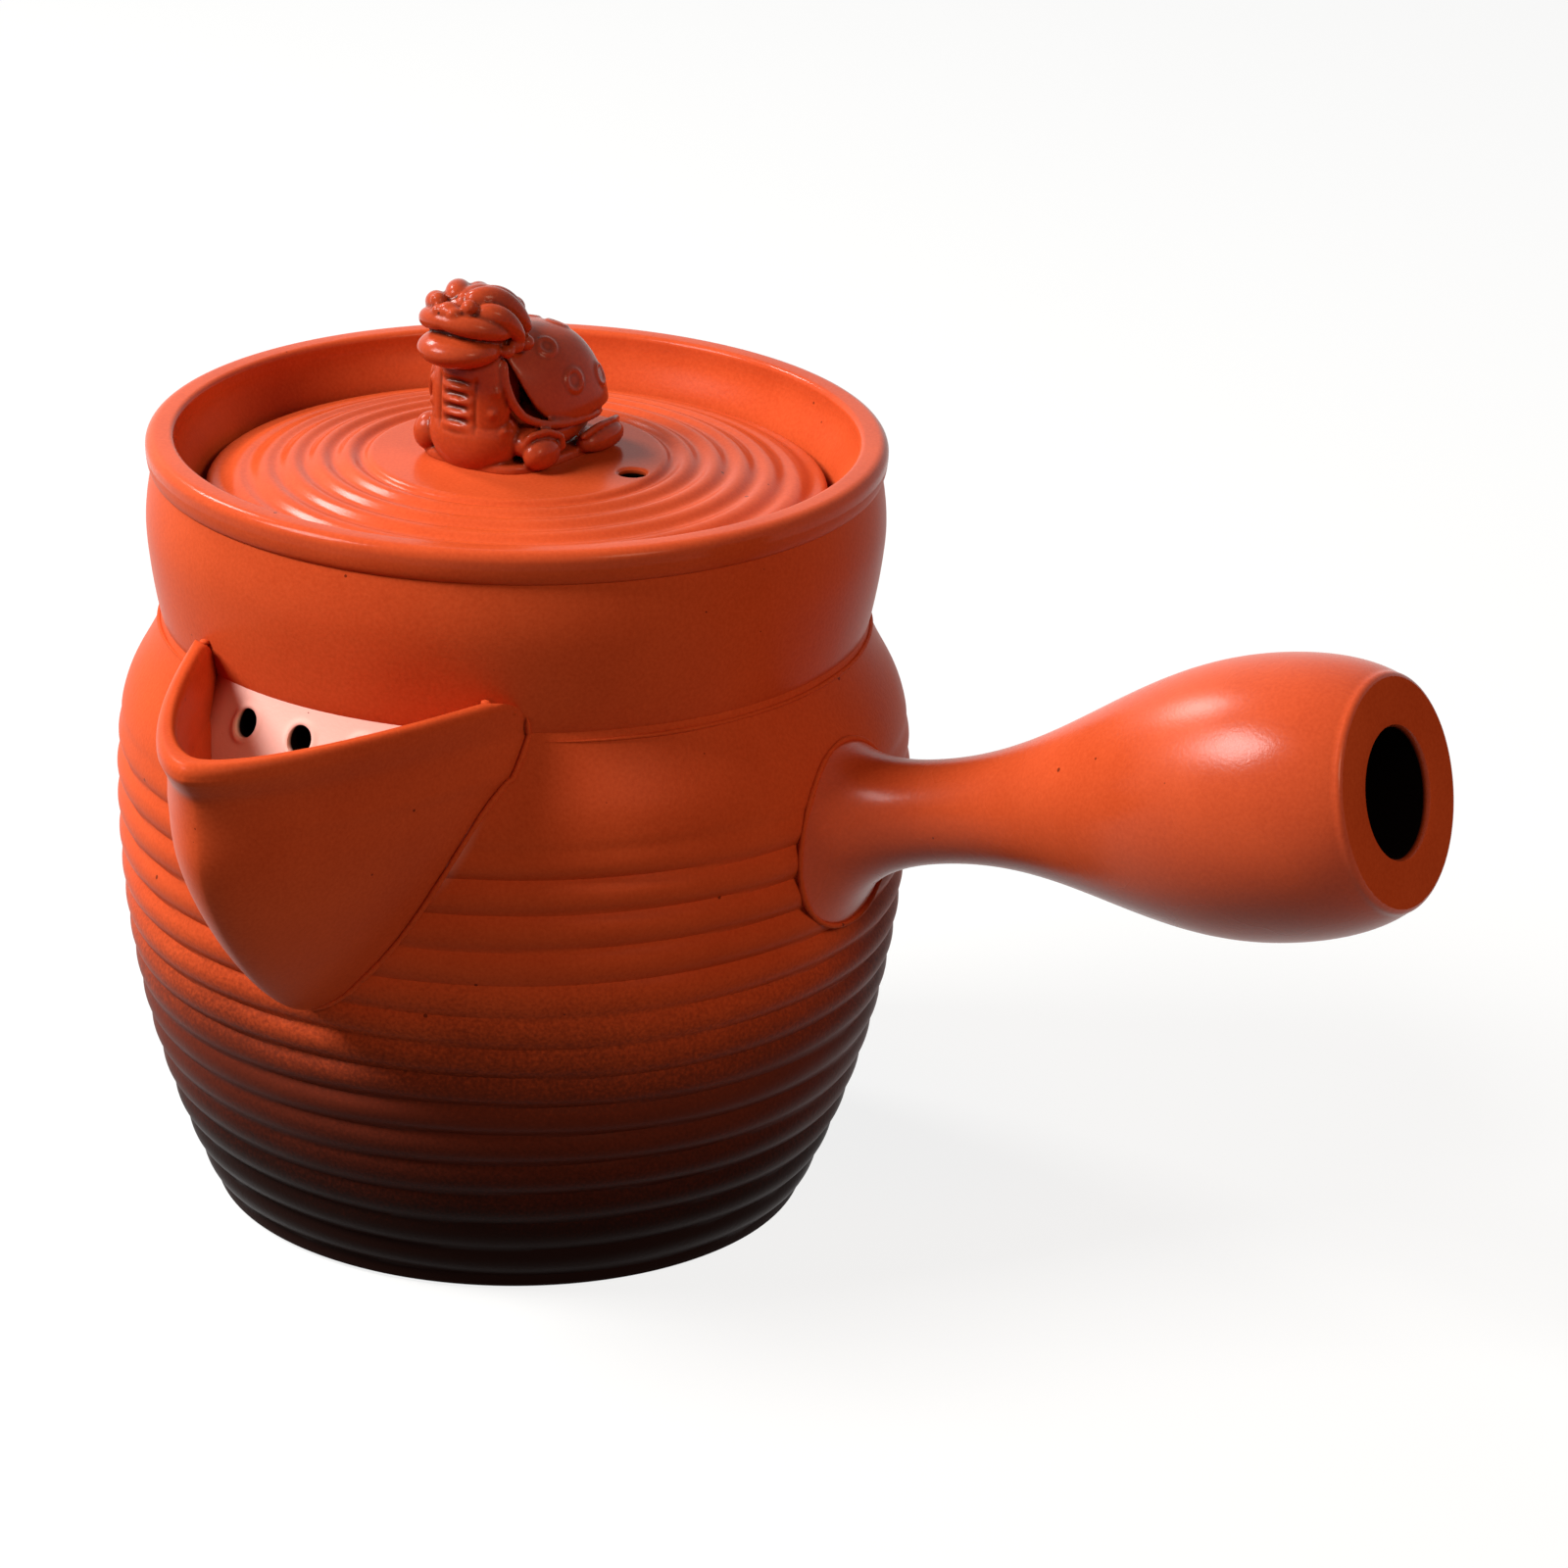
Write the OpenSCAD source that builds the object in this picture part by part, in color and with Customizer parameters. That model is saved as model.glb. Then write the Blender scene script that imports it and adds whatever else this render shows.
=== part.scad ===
// Side-handle clay teapot with a pierced strainer wall behind its spout and a
// lift-off lid that carries a small beast as its knob.
// Frame: the origin is the centre of the foot on the table, +Z is up, the handle
// points along +X and the spout points close to -Y.

/* [Pot body] */
// Outer radius at the belly
belly_r = 44; // [41:0.5:50]
// Height of the belly above the table
belly_z = 48; // [44:0.5:51]
// Outer radius of the foot
foot_r = 33.2; // [30:0.2:36]
// Height of the crease where the collar sits on the shoulder
crease_z = 67.2; // [65:0.2:72]
// Outer radius at the crease
crease_r = 38.8; // [37.6:0.1:40]
// Thickness of the thrown wall
wall = 3.4; // [2.6:0.1:4]
// Thickness of the floor
floor_t = 4.5; // [3.5:0.1:6]
// Width of the ring that stands on the table
foot_ring = 6; // [4:0.5:9]
// Height of the recess inside the foot ring
foot_recess = 1.2; // [0.6:0.1:1.6]
// Spacing of the throwing rings
ring_pitch = 3.85; // [3:0.05:5]
// Depth of the grooves between the throwing rings
ring_depth = 0.45; // [0.2:0.05:0.6]
// Height at which the rings fade into the smooth shoulder
ring_top = 54.5; // [40:0.5:58]

/* [Strainer wall] */
// Diameter of each pouring hole
strainer_d = 3; // [2:0.1:3.6]
// Height of the top row of holes
strainer_z = 64; // [60:0.2:65]
// Height between two rows
strainer_row = 5.2; // [4.6:0.1:6]
// Angle between two holes of a row
strainer_step = 10.8; // [9:0.1:12]
// Holes in the top row, with one fewer in each row below
strainer_holes = 4; // [2:1:4]
// Number of rows
strainer_rows = 3; // [1:1:3]

/* [Collar] */
// Outer radius where the collar bulges most
collar_r = 40.5; // [40:0.1:43]
// Height of the bulge above the crease
collar_bulge_h = 10.9; // [8:0.1:13]
// Height of the rim above the crease
collar_h = 20.5; // [19:0.1:24]
// Height of the rolled rim
rim_h = 3.7; // [3:0.1:4.5]
// Width of the rim across its flat top
rim_w = 3.2; // [2.8:0.1:3.6]
// Rounding of the rim's outer shoulder
rim_round = 1.2; // [0.6:0.1:1.6]
// Height of the lid's seat above the crease
seat_h = 11.8; // [10:0.1:13]
// Thickness of the seat's ledge
ledge_t = 3.2; // [2.4:0.1:4.5]
// Radius of the mouth inside the ledge
mouth_r = 30; // [27:0.2:31]

/* [Spout] */
// Angle from the handle round to the spout
spout_angle = 85.5; // [75:0.5:100]
// Height of the pouring lip
lip_z = 71.6; // [70:0.1:74]
// Height of the upright lip above the level where the beak is full
lip_stand = 1.8; // [1.4:0.1:2.6]
// Rounding of the lip's two ends at the pot
ear_round = 2.4; // [1.6:0.1:3]
// Height of the keel's lowest point on the body
keel_z = 35.4; // [30:0.2:42]
// Reach of the lip beyond the pot's wall
spout_reach = 29.5; // [22:0.5:34]
// Half of the spout's width where it meets the pot
spout_half_w = 20; // [16:0.5:22]
// Thickness of the spout's sides
spout_wall = 2.6; // [2:0.1:3.2]
// Thickness of the spout's nose
nose_wall = 3.4; // [2.6:0.1:4.2]
// Rounding of the lip's edge
lip_round = 1.2; // [0.6:0.1:1.2]

/* [Handle] */
// Height at which the handle's axis leaves the belly
handle_z = 52.6; // [48:0.2:54]
// Upward tilt of the handle
handle_tilt = 15; // [5:0.5:20]
// Length of the handle beyond the belly
handle_len = 66.3; // [60:0.5:80]
// Radius of the slim neck
neck_r = 5.6; // [5:0.1:6.5]
// Distance of the neck from the belly
neck_s = 11; // [9:0.5:14]
// Radius of the grip where it is fullest
grip_r = 15; // [13:0.1:17]
// Distance of the fullest grip from the end
grip_back = 13.3; // [10:0.1:18]
// Outer radius of the flat end
end_r = 12.5; // [11:0.1:12.9]
// Radius of the foot that is luted to the pot
flare_r = 14.5; // [12:0.1:16]
// Radius of the bore in the end
bore_r = 6.8; // [5.5:0.1:7.2]
// Straight length of the bore
bore_len = 30; // [20:0.5:31]

/* [Lid] */
// Gap between the lid's edge and the collar
lid_gap = 0.8; // [0.4:0.1:1.4]
// Radius of the lid
lid_r = 34; // [33:0.1:35]
// Thickness of the lid at its edge
lid_edge_t = 3; // [2.4:0.1:4]
// Rise of the dome from the edge to the flat disc
lid_dome = 3.2; // [2:0.1:4]
// Radius of the flat disc that carries the knob
disc_r = 15.5; // [14:0.1:17]
// Spacing of the lid's ripples
ripple_pitch = 3.3; // [2.8:0.1:4]
// Depth of the grooves between the ripples
ripple_depth = 0.55; // [0.2:0.05:0.7]
// Thickness of the lid under the disc
lid_t = 3.8; // [3:0.1:4.6]
// Running gap between the flange and the mouth
flange_gap = 0.6; // [0.4:0.1:1]
// Thickness of the flange
flange_t = 2.8; // [2:0.1:3.4]
// Depth of the flange below the seat
flange_h = 8; // [5:0.5:10]
// Diameter of the steam hole
steam_d = 3; // [2:0.1:4]
// Distance of the steam hole from the lid's centre
steam_r = 14; // [12.6:0.1:15]
// Angle from the handle round to the steam hole
steam_angle = 6; // [0:1:45]

/* [Knob] */
// Direction the beast faces, turned from the handle
knob_turn = -94; // [-180:1:180]
// How far the beast stands to its left of the lid's centre
knob_shift = -1.6; // [-2:0.1:2]
// Length of the plinth
plinth_l = 18; // [16:0.5:20]
// Width of the plinth
plinth_w = 15; // [14:0.5:17]
// Thickness of the plinth
plinth_t = 1; // [0.6:0.1:1.4]
// Height of the beast's crown above the lid
crown_h = 21.5; // [19:0.1:23]
// Radius of the skull
skull_r = 4.5; // [4:0.1:5]
// Radius of the throat under the jaw
throat_r = 3.9; // [3.4:0.1:4.4]
// Radius of the chest on the plinth
chest_r = 5.3; // [4.6:0.1:6]
// Radius of the domed shell
shell_r = 8.2; // [7.4:0.1:8.8]
// Height of the shell's rim
shell_rim_h = 4.4; // [3.6:0.1:5]
// Radius of each paw
paw_r = 2.6; // [2.2:0.1:3]

/* [Luting slip] */
// Width of the slip left along a joint
slip_w = 0.8; // [0.5:0.1:1.2]
// Gap left between fired pieces at a luted joint
lute_gap = 0.05; // [0.03:0.01:0.1]

/* [Hidden] */
$fn = 96;
clay = "orangered";
smoked_clay = "saddlebrown";
polished_clay = "firebrick";
slip_clay = "coral";

seat_z = crease_z + seat_h;
rim_z = crease_z + collar_h;
notch_z = rim_z - rim_h;
seat_r = lid_r + lid_gap;
lid_edge_z = seat_z + lid_edge_t;
disc_z = lid_edge_z + lid_dome;
flange_r = mouth_r - flange_gap;

// Point at share t of a cubic curve with four control points
function bez(p, t) =
    pow(1 - t, 3) * p[0] + 3 * t * pow(1 - t, 2) * p[1] + 3 * t * t * (1 - t) * p[2] + pow(t, 3) * p[3];

// A run of n points along the curve, without its first
function bez_run(p, n) = [for (i = [1:n]) bez(p, i / n)];

// Share t at which a rising curve reaches the height z, found by halving
function bez_at(p, z, lo = 0, hi = 1, n = 22) =
    let (mid = (lo + hi) / 2)
    n == 0 ? mid : bez(p, mid)[1] < z ? bez_at(p, z, mid, hi, n - 1) : bez_at(p, z, lo, mid, n - 1);

// The wall leaves the foot leaning outwards, turns upright at the belly and
// rolls in again over the shoulder
foot_lean = [3.5, 7.6];
belly_pull = 25.3;
shoulder_pull = 13.4;
crease_lean = [2.5, 7.5];
lower_wall = [
    [foot_r, 0], [foot_r + foot_lean[0], foot_lean[1]], [belly_r, belly_z - belly_pull], [belly_r, belly_z]
];
upper_wall = [
    [belly_r, belly_z], [belly_r, belly_z + shoulder_pull],
    [crease_r + crease_lean[0], crease_z - crease_lean[1]], [crease_r, crease_z]
];
bulge_lean = [0.5, 1];
bulge_pull = 3;
collar_wall = [
    [crease_r, crease_z], [crease_r + bulge_lean[0], crease_z + bulge_lean[1]],
    [collar_r, crease_z + collar_bulge_h - bulge_pull], [collar_r, crease_z + collar_bulge_h]
];

// Smooth outer radius of the pot at a height, up to the collar's bulge
function pot_r(z) =
    let (p = z < belly_z ? lower_wall : z < crease_z ? upper_wall : collar_wall)
    bez(p, bez_at(p, z))[0];

// Depth of the throwing rings at a height: sharp grooves between round ridges
ring_fade = 6;
function ring_cut(z) =
    ring_depth * pow(1 - abs(sin(180 * z / ring_pitch)), 1.5) * min(1, max(0, (ring_top - z) / ring_fade));

ring_steps = 6;
function ring_heights() =
    [for (i = [1:floor(ring_top * ring_steps / ring_pitch)]) i * ring_pitch / ring_steps];
shoulder_steps = 10;
function shoulder_heights() =
    [for (i = [1:shoulder_steps]) ring_top + (crease_z - ring_top) * i / shoulder_steps];

foot_round = 0.7;
inner_steps = 18;
module pot_shell() {
    inside = [for (i = [0:inner_steps]) crease_z - (crease_z - floor_t) * i / inner_steps];
    rotate_extrude() polygon(concat(
        [[0, foot_recess], [foot_r - foot_ring, foot_recess]],
        [[foot_r - foot_ring, 0], [foot_r - foot_round, 0]],
        [for (z = ring_heights()) [pot_r(z) - ring_cut(z), z]],
        [for (z = shoulder_heights()) [pot_r(z), z]],
        [for (z = inside) [pot_r(z) - wall, z]],
        [[0, floor_t]]
    ));
}

// The pot's outer form without its rings, as the pieces luted to it are cut
envelope_steps = 34;
module pot_envelope(grow) {
    top = crease_z + collar_bulge_h;
    rotate_extrude() polygon(concat(
        [[0, -1], [foot_r, -1]],
        [for (i = [0:envelope_steps]) let (z = top * i / envelope_steps) [pot_r(z) + grow, z]],
        [[0, top]]
    ));
}

module strainer_drill(z, turn) {
    rotate([0, 0, turn - spout_angle]) translate([belly_r / 2, 0, z]) rotate([0, 90, 0])
        cylinder(d = strainer_d, h = belly_r);
}

module pot_body() {
    color(smoked_clay) difference() {
        pot_shell();
        for (row = [0:strainer_rows - 1])
            for (i = [0:strainer_holes - row - 1])
                strainer_drill(strainer_z - row * strainer_row,
                    (i - (strainer_holes - row - 1) / 2) * strainer_step);
    }
}

// Collar: a ring that bulges over the crease, ends in a rolled rim above a sharp
// notch and holds the ledge that the lid sits on
throat_drop = 4;
throat_lean = [2, 1];
notch_depth = 0.45;
notch_pull = 2;
rim_bulge = 0.4;
inner_round = 0.7;
inside_pull = 3;
seat_pull = 4;

// Points along a rounded corner about a centre, from one angle to another
corner_n = 5;
function corner(centre, r, from, to) =
    [for (i = [1:corner_n])
        let (turn = from + (to - from) * i / corner_n)
        centre + r * [cos(turn), sin(turn)]];

// Outline of the rim from the notch up its bulging side, over the rounded
// shoulder, across the flat top and round the inner edge
function rim_outline(notch, inside_r) =
    let (side = [collar_r, rim_z - rim_round])
    concat(
        bez_run([notch, notch + [rim_bulge, 0], side - [0, (rim_h - rim_round) / 2], side], 6),
        corner(side - [rim_round, 0], rim_round, 0, 90),
        [[inside_r + inner_round, rim_z]],
        corner([inside_r + inner_round, rim_z - inner_round], inner_round, 90, 180)
    );

module collar() {
    notch = [collar_r - notch_depth, notch_z];
    inside_r = collar_r - rim_w;
    edge = [inside_r, rim_z - inner_round];
    underside = [mouth_r, seat_z - ledge_t];
    color(clay) rotate_extrude() polygon(concat(
        [[crease_r - wall, crease_z], [crease_r, crease_z]],
        bez_run(collar_wall, 10),
        bez_run([
            collar_wall[3], collar_wall[3] + [0, notch_pull], notch + [rim_bulge, -notch_pull], notch
        ], 6),
        rim_outline(notch, inside_r),
        bez_run([edge, edge - [0, inside_pull], [seat_r, seat_z + seat_pull], [seat_r, seat_z]], 8),
        [[mouth_r, seat_z], underside],
        bez_run([
            underside, underside + [throat_lean[0], -throat_lean[1]],
            [crease_r - wall, crease_z + throat_drop], [crease_r - wall, crease_z]
        ], 6)
    ));
}

// Spout: level slices, each a rounded nose. From the keel up, share w of the
// height, both its half width and its reach grow along power curves until the
// beak is full; the lip stands upright above that level.
full_z = lip_z - lip_stand;
width_power = 0.75;
reach_power = 0.62;
nose_power = 1.667;
root_depth = 8;
function spout_w(z) = min(1, max(0, z - keel_z) / (full_z - keel_z));
function spout_width(z) = spout_half_w * sin(90 * pow(spout_w(z), width_power));
function spout_nose(z) = pot_r(min(z, full_z)) + spout_reach * pow(spout_w(z), reach_power);

// One slice at height z, with its side and its nose moved out by side and nose
slice_n = 28;
function spout_slice(z, side, nose) =
    let (half = spout_width(z) + side)
    let (root = sqrt(pow(pot_r(min(z, lip_z)), 2) - pow(half, 2)))
    let (tip = spout_nose(z) + nose)
    concat(
        [[root - root_depth, -half, z]],
        [for (i = [-slice_n / 2:slice_n / 2])
            let (s = 2 * i / slice_n) [root + (tip - root) * (1 - pow(abs(s), nose_power)), half * s, z]],
        [[root - root_depth, half, z]]
    );

// Skin over a stack of slices that all hold the same number of points
module loft(slices) {
    n = len(slices[0]);
    top = len(slices) - 1;
    polyhedron(
        points = [for (s = slices) each s],
        faces = concat(
            [[for (i = [0:n - 1]) i]],
            [for (j = [0:top - 1]) for (i = [0:n - 1]) each [
                [j * n + i, (j + 1) * n + (i + 1) % n, j * n + (i + 1) % n],
                [j * n + i, (j + 1) * n + i, (j + 1) * n + (i + 1) % n]
            ]],
            [[for (i = [n - 1:-1:0]) top * n + i]]
        )
    );
}

// Heights of the slices, close together near the keel where the form turns fast
spout_steps = 14;
slice_power = 1.6;
function spout_heights(from, to) =
    [for (i = [0:spout_steps]) from + (to - from) * pow(i / spout_steps, slice_power)];

// Inset of a rounded edge at height h below the top
function edge_inset(h) = h >= lip_round ? 0 : lip_round - sqrt(pow(lip_round, 2) - pow(lip_round - h, 2));
edge_steps = 4;
function edge_heights() = [for (i = [0:edge_steps]) lip_z - lip_round * (1 - sin(90 * i / edge_steps))];

keel_start = 0.3;
module spout_outer(grow) {
    low = keel_z + keel_start;
    heights = concat(spout_heights(low, full_z), edge_heights());
    rotate([0, 0, -spout_angle])
        loft([for (z = heights)
            let (e = grow - edge_inset(lip_z - z))
            let (drop = grow * (1 - spout_w(z)))
            [for (p = spout_slice(z, e, e)) p - [0, 0, drop]]]);
}

trough_rise = 5.5;
module spout_trough() {
    heights = concat(spout_heights(keel_z + trough_rise, full_z), edge_heights(), [lip_z + 1]);
    rotate([0, 0, -spout_angle])
        loft([for (z = heights)
            let (e = edge_inset(max(0, lip_z - z)))
            spout_slice(z, e - spout_wall, e - nose_wall)]);
}

// A flared ring round the pot that rounds the lip's two ends down to the wall
ear_steps = 6;
module ear_cut() {
    ends = [for (i = [0:ear_steps])
        let (turn = 90 * i / ear_steps)
        let (z = lip_z - ear_round * (1 - sin(turn)))
        [pot_r(z) + lute_gap + ear_round * (1 - cos(turn)), z]];
    outside = ends[ear_steps][0];
    rotate_extrude() polygon(concat([[0, lip_z - ear_round]], ends, [[outside, lip_z + 1], [0, lip_z + 1]]));
}

module spout() {
    color(clay) difference() {
        spout_outer(0);
        spout_trough();
        pot_envelope(lute_gap);
        ear_cut();
    }
}

// Handle: a thrown bottle form on a tilted axis, hollow from its flat end
module on_handle_axis() {
    translate([belly_r, 0, handle_z]) rotate([0, 90 - handle_tilt, 0]) children();
}

flare_back = 5;
flare_lean = [2.9, 3];
flare_pull = 9;
neck_reach = 17;
grip_pull = 16;
shoulder_reach = 5;
end_lean = [1.75, 3];
end_round = 0.8;

// Half outline of the handle about its axis. The foot runs back into the pot as
// far as the shoulder leans in, so that it meets the wall all round.
function handle_outline(grow) =
    let (root_s = -flare_back - (belly_r - crease_r))
    let (grip_s = handle_len - grip_back)
    let (edge_s = handle_len - end_round)
    let (foot = flare_r + grow)
    let (slim = neck_r + grow)
    concat(
        [[0, root_s], [foot, root_s], [foot, -flare_back]],
        bez_run([
            [foot, -flare_back], [slim + flare_lean[0], flare_lean[1] - flare_back],
            [slim, neck_s - flare_pull], [slim, neck_s]
        ], 12),
        bez_run([
            [neck_r, neck_s], [neck_r, neck_s + neck_reach], [grip_r, grip_s - grip_pull], [grip_r, grip_s]
        ], 14),
        bez_run([
            [grip_r, grip_s], [grip_r, grip_s + shoulder_reach],
            [end_r + end_lean[0], edge_s - end_lean[1]], [end_r, edge_s]
        ], 8),
        [[end_r - end_round / 3, handle_len - end_round / 3]],
        [[end_r - end_round, handle_len], [0, handle_len]]
    );

hollow_tip_r = 2.4;
hollow_past_neck = 5;
hollow_reach = 5;
hollow_pull = 10;
mouth_bevel = 0.4;
module handle_hollow() {
    bore_end = handle_len - bore_len;
    hollow_end = neck_s + hollow_past_neck;
    rotate_extrude() polygon(concat(
        [[0, handle_len + 1], [bore_r + mouth_bevel, handle_len + 1], [bore_r + mouth_bevel, handle_len]],
        [[bore_r, handle_len - mouth_bevel], [bore_r, bore_end]],
        bez_run([
            [bore_r, bore_end], [bore_r, bore_end - hollow_reach], [hollow_tip_r, hollow_end + hollow_pull],
            [hollow_tip_r, hollow_end]
        ], 8),
        [[0, hollow_end - hollow_tip_r / 2]]
    ));
}

module handle() {
    color(clay) difference() {
        on_handle_axis() rotate_extrude() polygon(handle_outline(0));
        on_handle_axis() handle_hollow();
        pot_envelope(lute_gap);
    }
}

// Slip squeezed out along the three luted joints. Under the collar it is a half
// round ridge that stops on either side of the spout.
ridge_steps = 8;
module collar_slip() {
    stop = spout_half_w + 2 * slip_w;
    ridge = [for (i = [0:ridge_steps])
        let (turn = 180 * i / ridge_steps)
        let (z = crease_z - slip_w - slip_w * cos(turn))
        [pot_r(z) + lute_gap + slip_w / 2 * sin(turn), z]];
    color(slip_clay) difference() {
        rotate_extrude() polygon(ridge);
        rotate([0, 0, -spout_angle]) translate([0, -stop, crease_z - 3 * slip_w])
            cube([2 * crease_r, 2 * stop, 4 * slip_w]);
    }
}

module spout_slip() {
    color(slip_clay) difference() {
        intersection() {
            spout_outer(slip_w);
            pot_envelope(slip_w);
        }
        spout_outer(lute_gap);
        pot_envelope(lute_gap);
        ear_cut();
    }
}

module handle_slip() {
    color(slip_clay) difference() {
        intersection() {
            on_handle_axis() rotate_extrude() polygon(handle_outline(slip_w));
            pot_envelope(slip_w);
        }
        on_handle_axis() rotate_extrude() polygon(handle_outline(lute_gap));
        pot_envelope(lute_gap);
    }
}

// Lid: a low dome with concentric ripples round a flat disc
ripple_start = 0.3;
function lid_top(r) =
    let (share = max(0, r - disc_r) / (lid_r - disc_r))
    let (phase = (r - disc_r) / ripple_pitch)
    let (plain = phase < ripple_start || phase > floor((lid_r - disc_r) / ripple_pitch))
    let (cut = plain ? 0 : 1 - abs(sin(180 * (phase - 0.5))))
    disc_z - lid_dome * pow(share, 2) - ripple_depth * cut;

lid_steps = 30;
lid_round = 0.8;
module lid_shell() {
    inner_r = flange_r - flange_t;
    outer = lid_r - lid_round;
    rotate_extrude() polygon(concat(
        [[0, disc_z - lid_t], [disc_r, disc_z - lid_t], [inner_r, seat_z], [lid_r - lid_round / 2, seat_z]],
        [[lid_r, seat_z + lid_round / 2], [lid_r, lid_edge_z - lid_round / 2]],
        [for (i = [0:lid_steps]) let (r = outer - (outer - disc_r) * i / lid_steps) [r, lid_top(r)]],
        [[0, disc_z]]
    ));
}

module lid() {
    color(clay) difference() {
        lid_shell();
        rotate([0, 0, steam_angle]) translate([steam_r, 0, seat_z]) cylinder(d = steam_d, h = disc_z);
    }
}

module lid_flange() {
    inner_r = flange_r - flange_t;
    foot = flange_t / 4;
    color(clay) rotate_extrude() polygon([
        [inner_r, seat_z], [inner_r, seat_z - flange_h + foot], [inner_r + foot, seat_z - flange_h],
        [flange_r - foot, seat_z - flange_h], [flange_r, seat_z - flange_h + foot], [flange_r, seat_z]
    ]);
}

// Knob: a crouching beast with a domed shell, facing +X before it is turned
// A swept lock of the mane: a round front, a tapering back and a round tip
lock_thick = 1.9;
lock_thin = 1.1;
lock_len = 6.5;
module lock() {
    sphere(r = lock_thick);
    rotate([0, -90, 0]) cylinder(r1 = lock_thick, r2 = lock_thin, h = lock_len);
    translate([-lock_len, 0, 0]) sphere(r = lock_thin);
}

jaw_r = 3.2;
jaw_t = 1.7;
jaw_at = [1.2, -2.6];
lock_fan = 32;
lock_at = [1, 1.1];
lock_rake = 26;
module beast_head() {
    sphere(r = skull_r);
    translate([jaw_at[0], 0, jaw_at[1]]) {
        rotate_extrude() translate([jaw_r, 0]) circle(r = jaw_t);
        translate([0, 0, -jaw_t]) cylinder(r = jaw_r, h = 2 * jaw_t);
    }
    for (turn = [-2:2])
        rotate([turn * lock_fan, 0, 0]) translate([lock_at[0], 0, skull_r - lock_at[1]])
            rotate([0, -lock_rake, 0]) lock();
}

// Places of the forms, each a distance forward of the plinth's middle and a height
head_f = 7.2;
head_drop = 5.3;
chest_f = 4.8;
chest_lean = 8;
loin_at = [0.3, 3];
loin_r = 6.3;
shell_at = [-4.1, 5.5];
front_paw = [3.9, 6.6];
rear_paw = [-6.4, 7];
paw_sink = 0.5;
tail_at = [-11, 2.2];
tail_r = 2;
module beast() {
    head_z = crown_h - head_drop;
    translate([chest_f, 0, 0]) rotate([0, chest_lean, 0]) cylinder(r1 = chest_r, r2 = throat_r, h = head_z);
    translate([head_f, 0, head_z]) beast_head();
    translate([loin_at[0], 0, loin_at[1]]) sphere(r = loin_r);
    translate([shell_at[0], 0, loin_at[1]]) sphere(r = loin_r);
    difference() {
        translate([shell_at[0], 0, shell_at[1]]) sphere(r = shell_r);
        translate([shell_at[0] - 2 * shell_r, -2 * shell_r, shell_rim_h - 4 * shell_r])
            cube(4 * shell_r);
    }
    for (side = [-1, 1])
        for (paw = [front_paw, rear_paw])
            translate([paw[0], side * paw[1], paw_r - paw_sink]) sphere(r = paw_r);
    translate([tail_at[0], 0, tail_at[1]]) sphere(r = tail_r);
}

plinth_square = 0.6;
module lid_knob() {
    color(polished_clay) translate([0, 0, disc_z]) rotate([0, 0, knob_turn]) translate([0, knob_shift, 0])
        difference() {
            union() {
                beast();
                linear_extrude(plinth_t) polygon([for (a = [0:12:348]) [
                    plinth_l / 2 * sign(cos(a)) * pow(abs(cos(a)), plinth_square),
                    plinth_w / 2 * sign(sin(a)) * pow(abs(sin(a)), plinth_square)
                ]]);
            }
            translate([-plinth_l, -plinth_l, -plinth_l]) cube([2 * plinth_l, 2 * plinth_l, plinth_l]);
        }
}

pot_body();
collar();
spout();
handle();
collar_slip();
spout_slip();
handle_slip();
lid();
lid_flange();
lid_knob();
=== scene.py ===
"""Dressed surfaces and finishes of a side-handle clay teapot, laid out as an add-on.

Shapes are worked out in millimetres, and properties, meshes and the stage are in metres.
All share the frame of the packed model: the origin is the centre of the foot, +Z is up,
the handle points along +X and the spout close to -Y.
"""

import math
from types import SimpleNamespace

import bmesh
import bpy
import numpy as np
from bpy.props import FloatProperty, FloatVectorProperty, IntProperty, PointerProperty
from mathutils import Matrix, Vector


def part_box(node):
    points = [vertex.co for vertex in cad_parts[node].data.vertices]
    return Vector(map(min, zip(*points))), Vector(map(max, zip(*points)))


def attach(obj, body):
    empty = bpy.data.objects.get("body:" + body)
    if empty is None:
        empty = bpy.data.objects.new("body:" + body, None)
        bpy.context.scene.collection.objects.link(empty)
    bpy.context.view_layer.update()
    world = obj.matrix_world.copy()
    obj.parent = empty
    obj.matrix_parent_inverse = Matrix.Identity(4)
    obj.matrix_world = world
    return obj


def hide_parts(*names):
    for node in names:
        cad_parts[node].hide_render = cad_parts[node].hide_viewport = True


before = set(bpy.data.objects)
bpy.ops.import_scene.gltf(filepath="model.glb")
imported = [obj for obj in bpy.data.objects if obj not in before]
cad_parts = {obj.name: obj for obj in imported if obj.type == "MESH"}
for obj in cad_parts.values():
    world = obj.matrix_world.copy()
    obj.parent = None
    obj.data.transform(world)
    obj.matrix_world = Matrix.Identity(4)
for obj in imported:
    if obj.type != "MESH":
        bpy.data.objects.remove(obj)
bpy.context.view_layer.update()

bl_info = {
    "name": "Side-handle Clay Teapot",
    "version": (1, 0, 0),
    "blender": (4, 5, 0),
    "location": "3D View > Sidebar > Teapot",
    "description": "Surfaces and finishes of a thrown clay teapot with a beast on its lid",
    "category": "Add Mesh",
}

MM = 0.001


def low(node, axis):
    """Lowest place of a packed node along an axis, in metres."""
    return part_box(node)[0][axis]


def high(node, axis):
    """Highest place of a packed node along an axis, in metres."""
    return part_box(node)[1][axis]


def length(name, description, default):
    """A length property, in metres."""
    return FloatProperty(name=name, description=description, default=default, unit="LENGTH", precision=5)


def angle(name, description, degrees):
    """An angle property."""
    return FloatProperty(name=name, description=description, default=math.radians(degrees), subtype="ANGLE")


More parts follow.
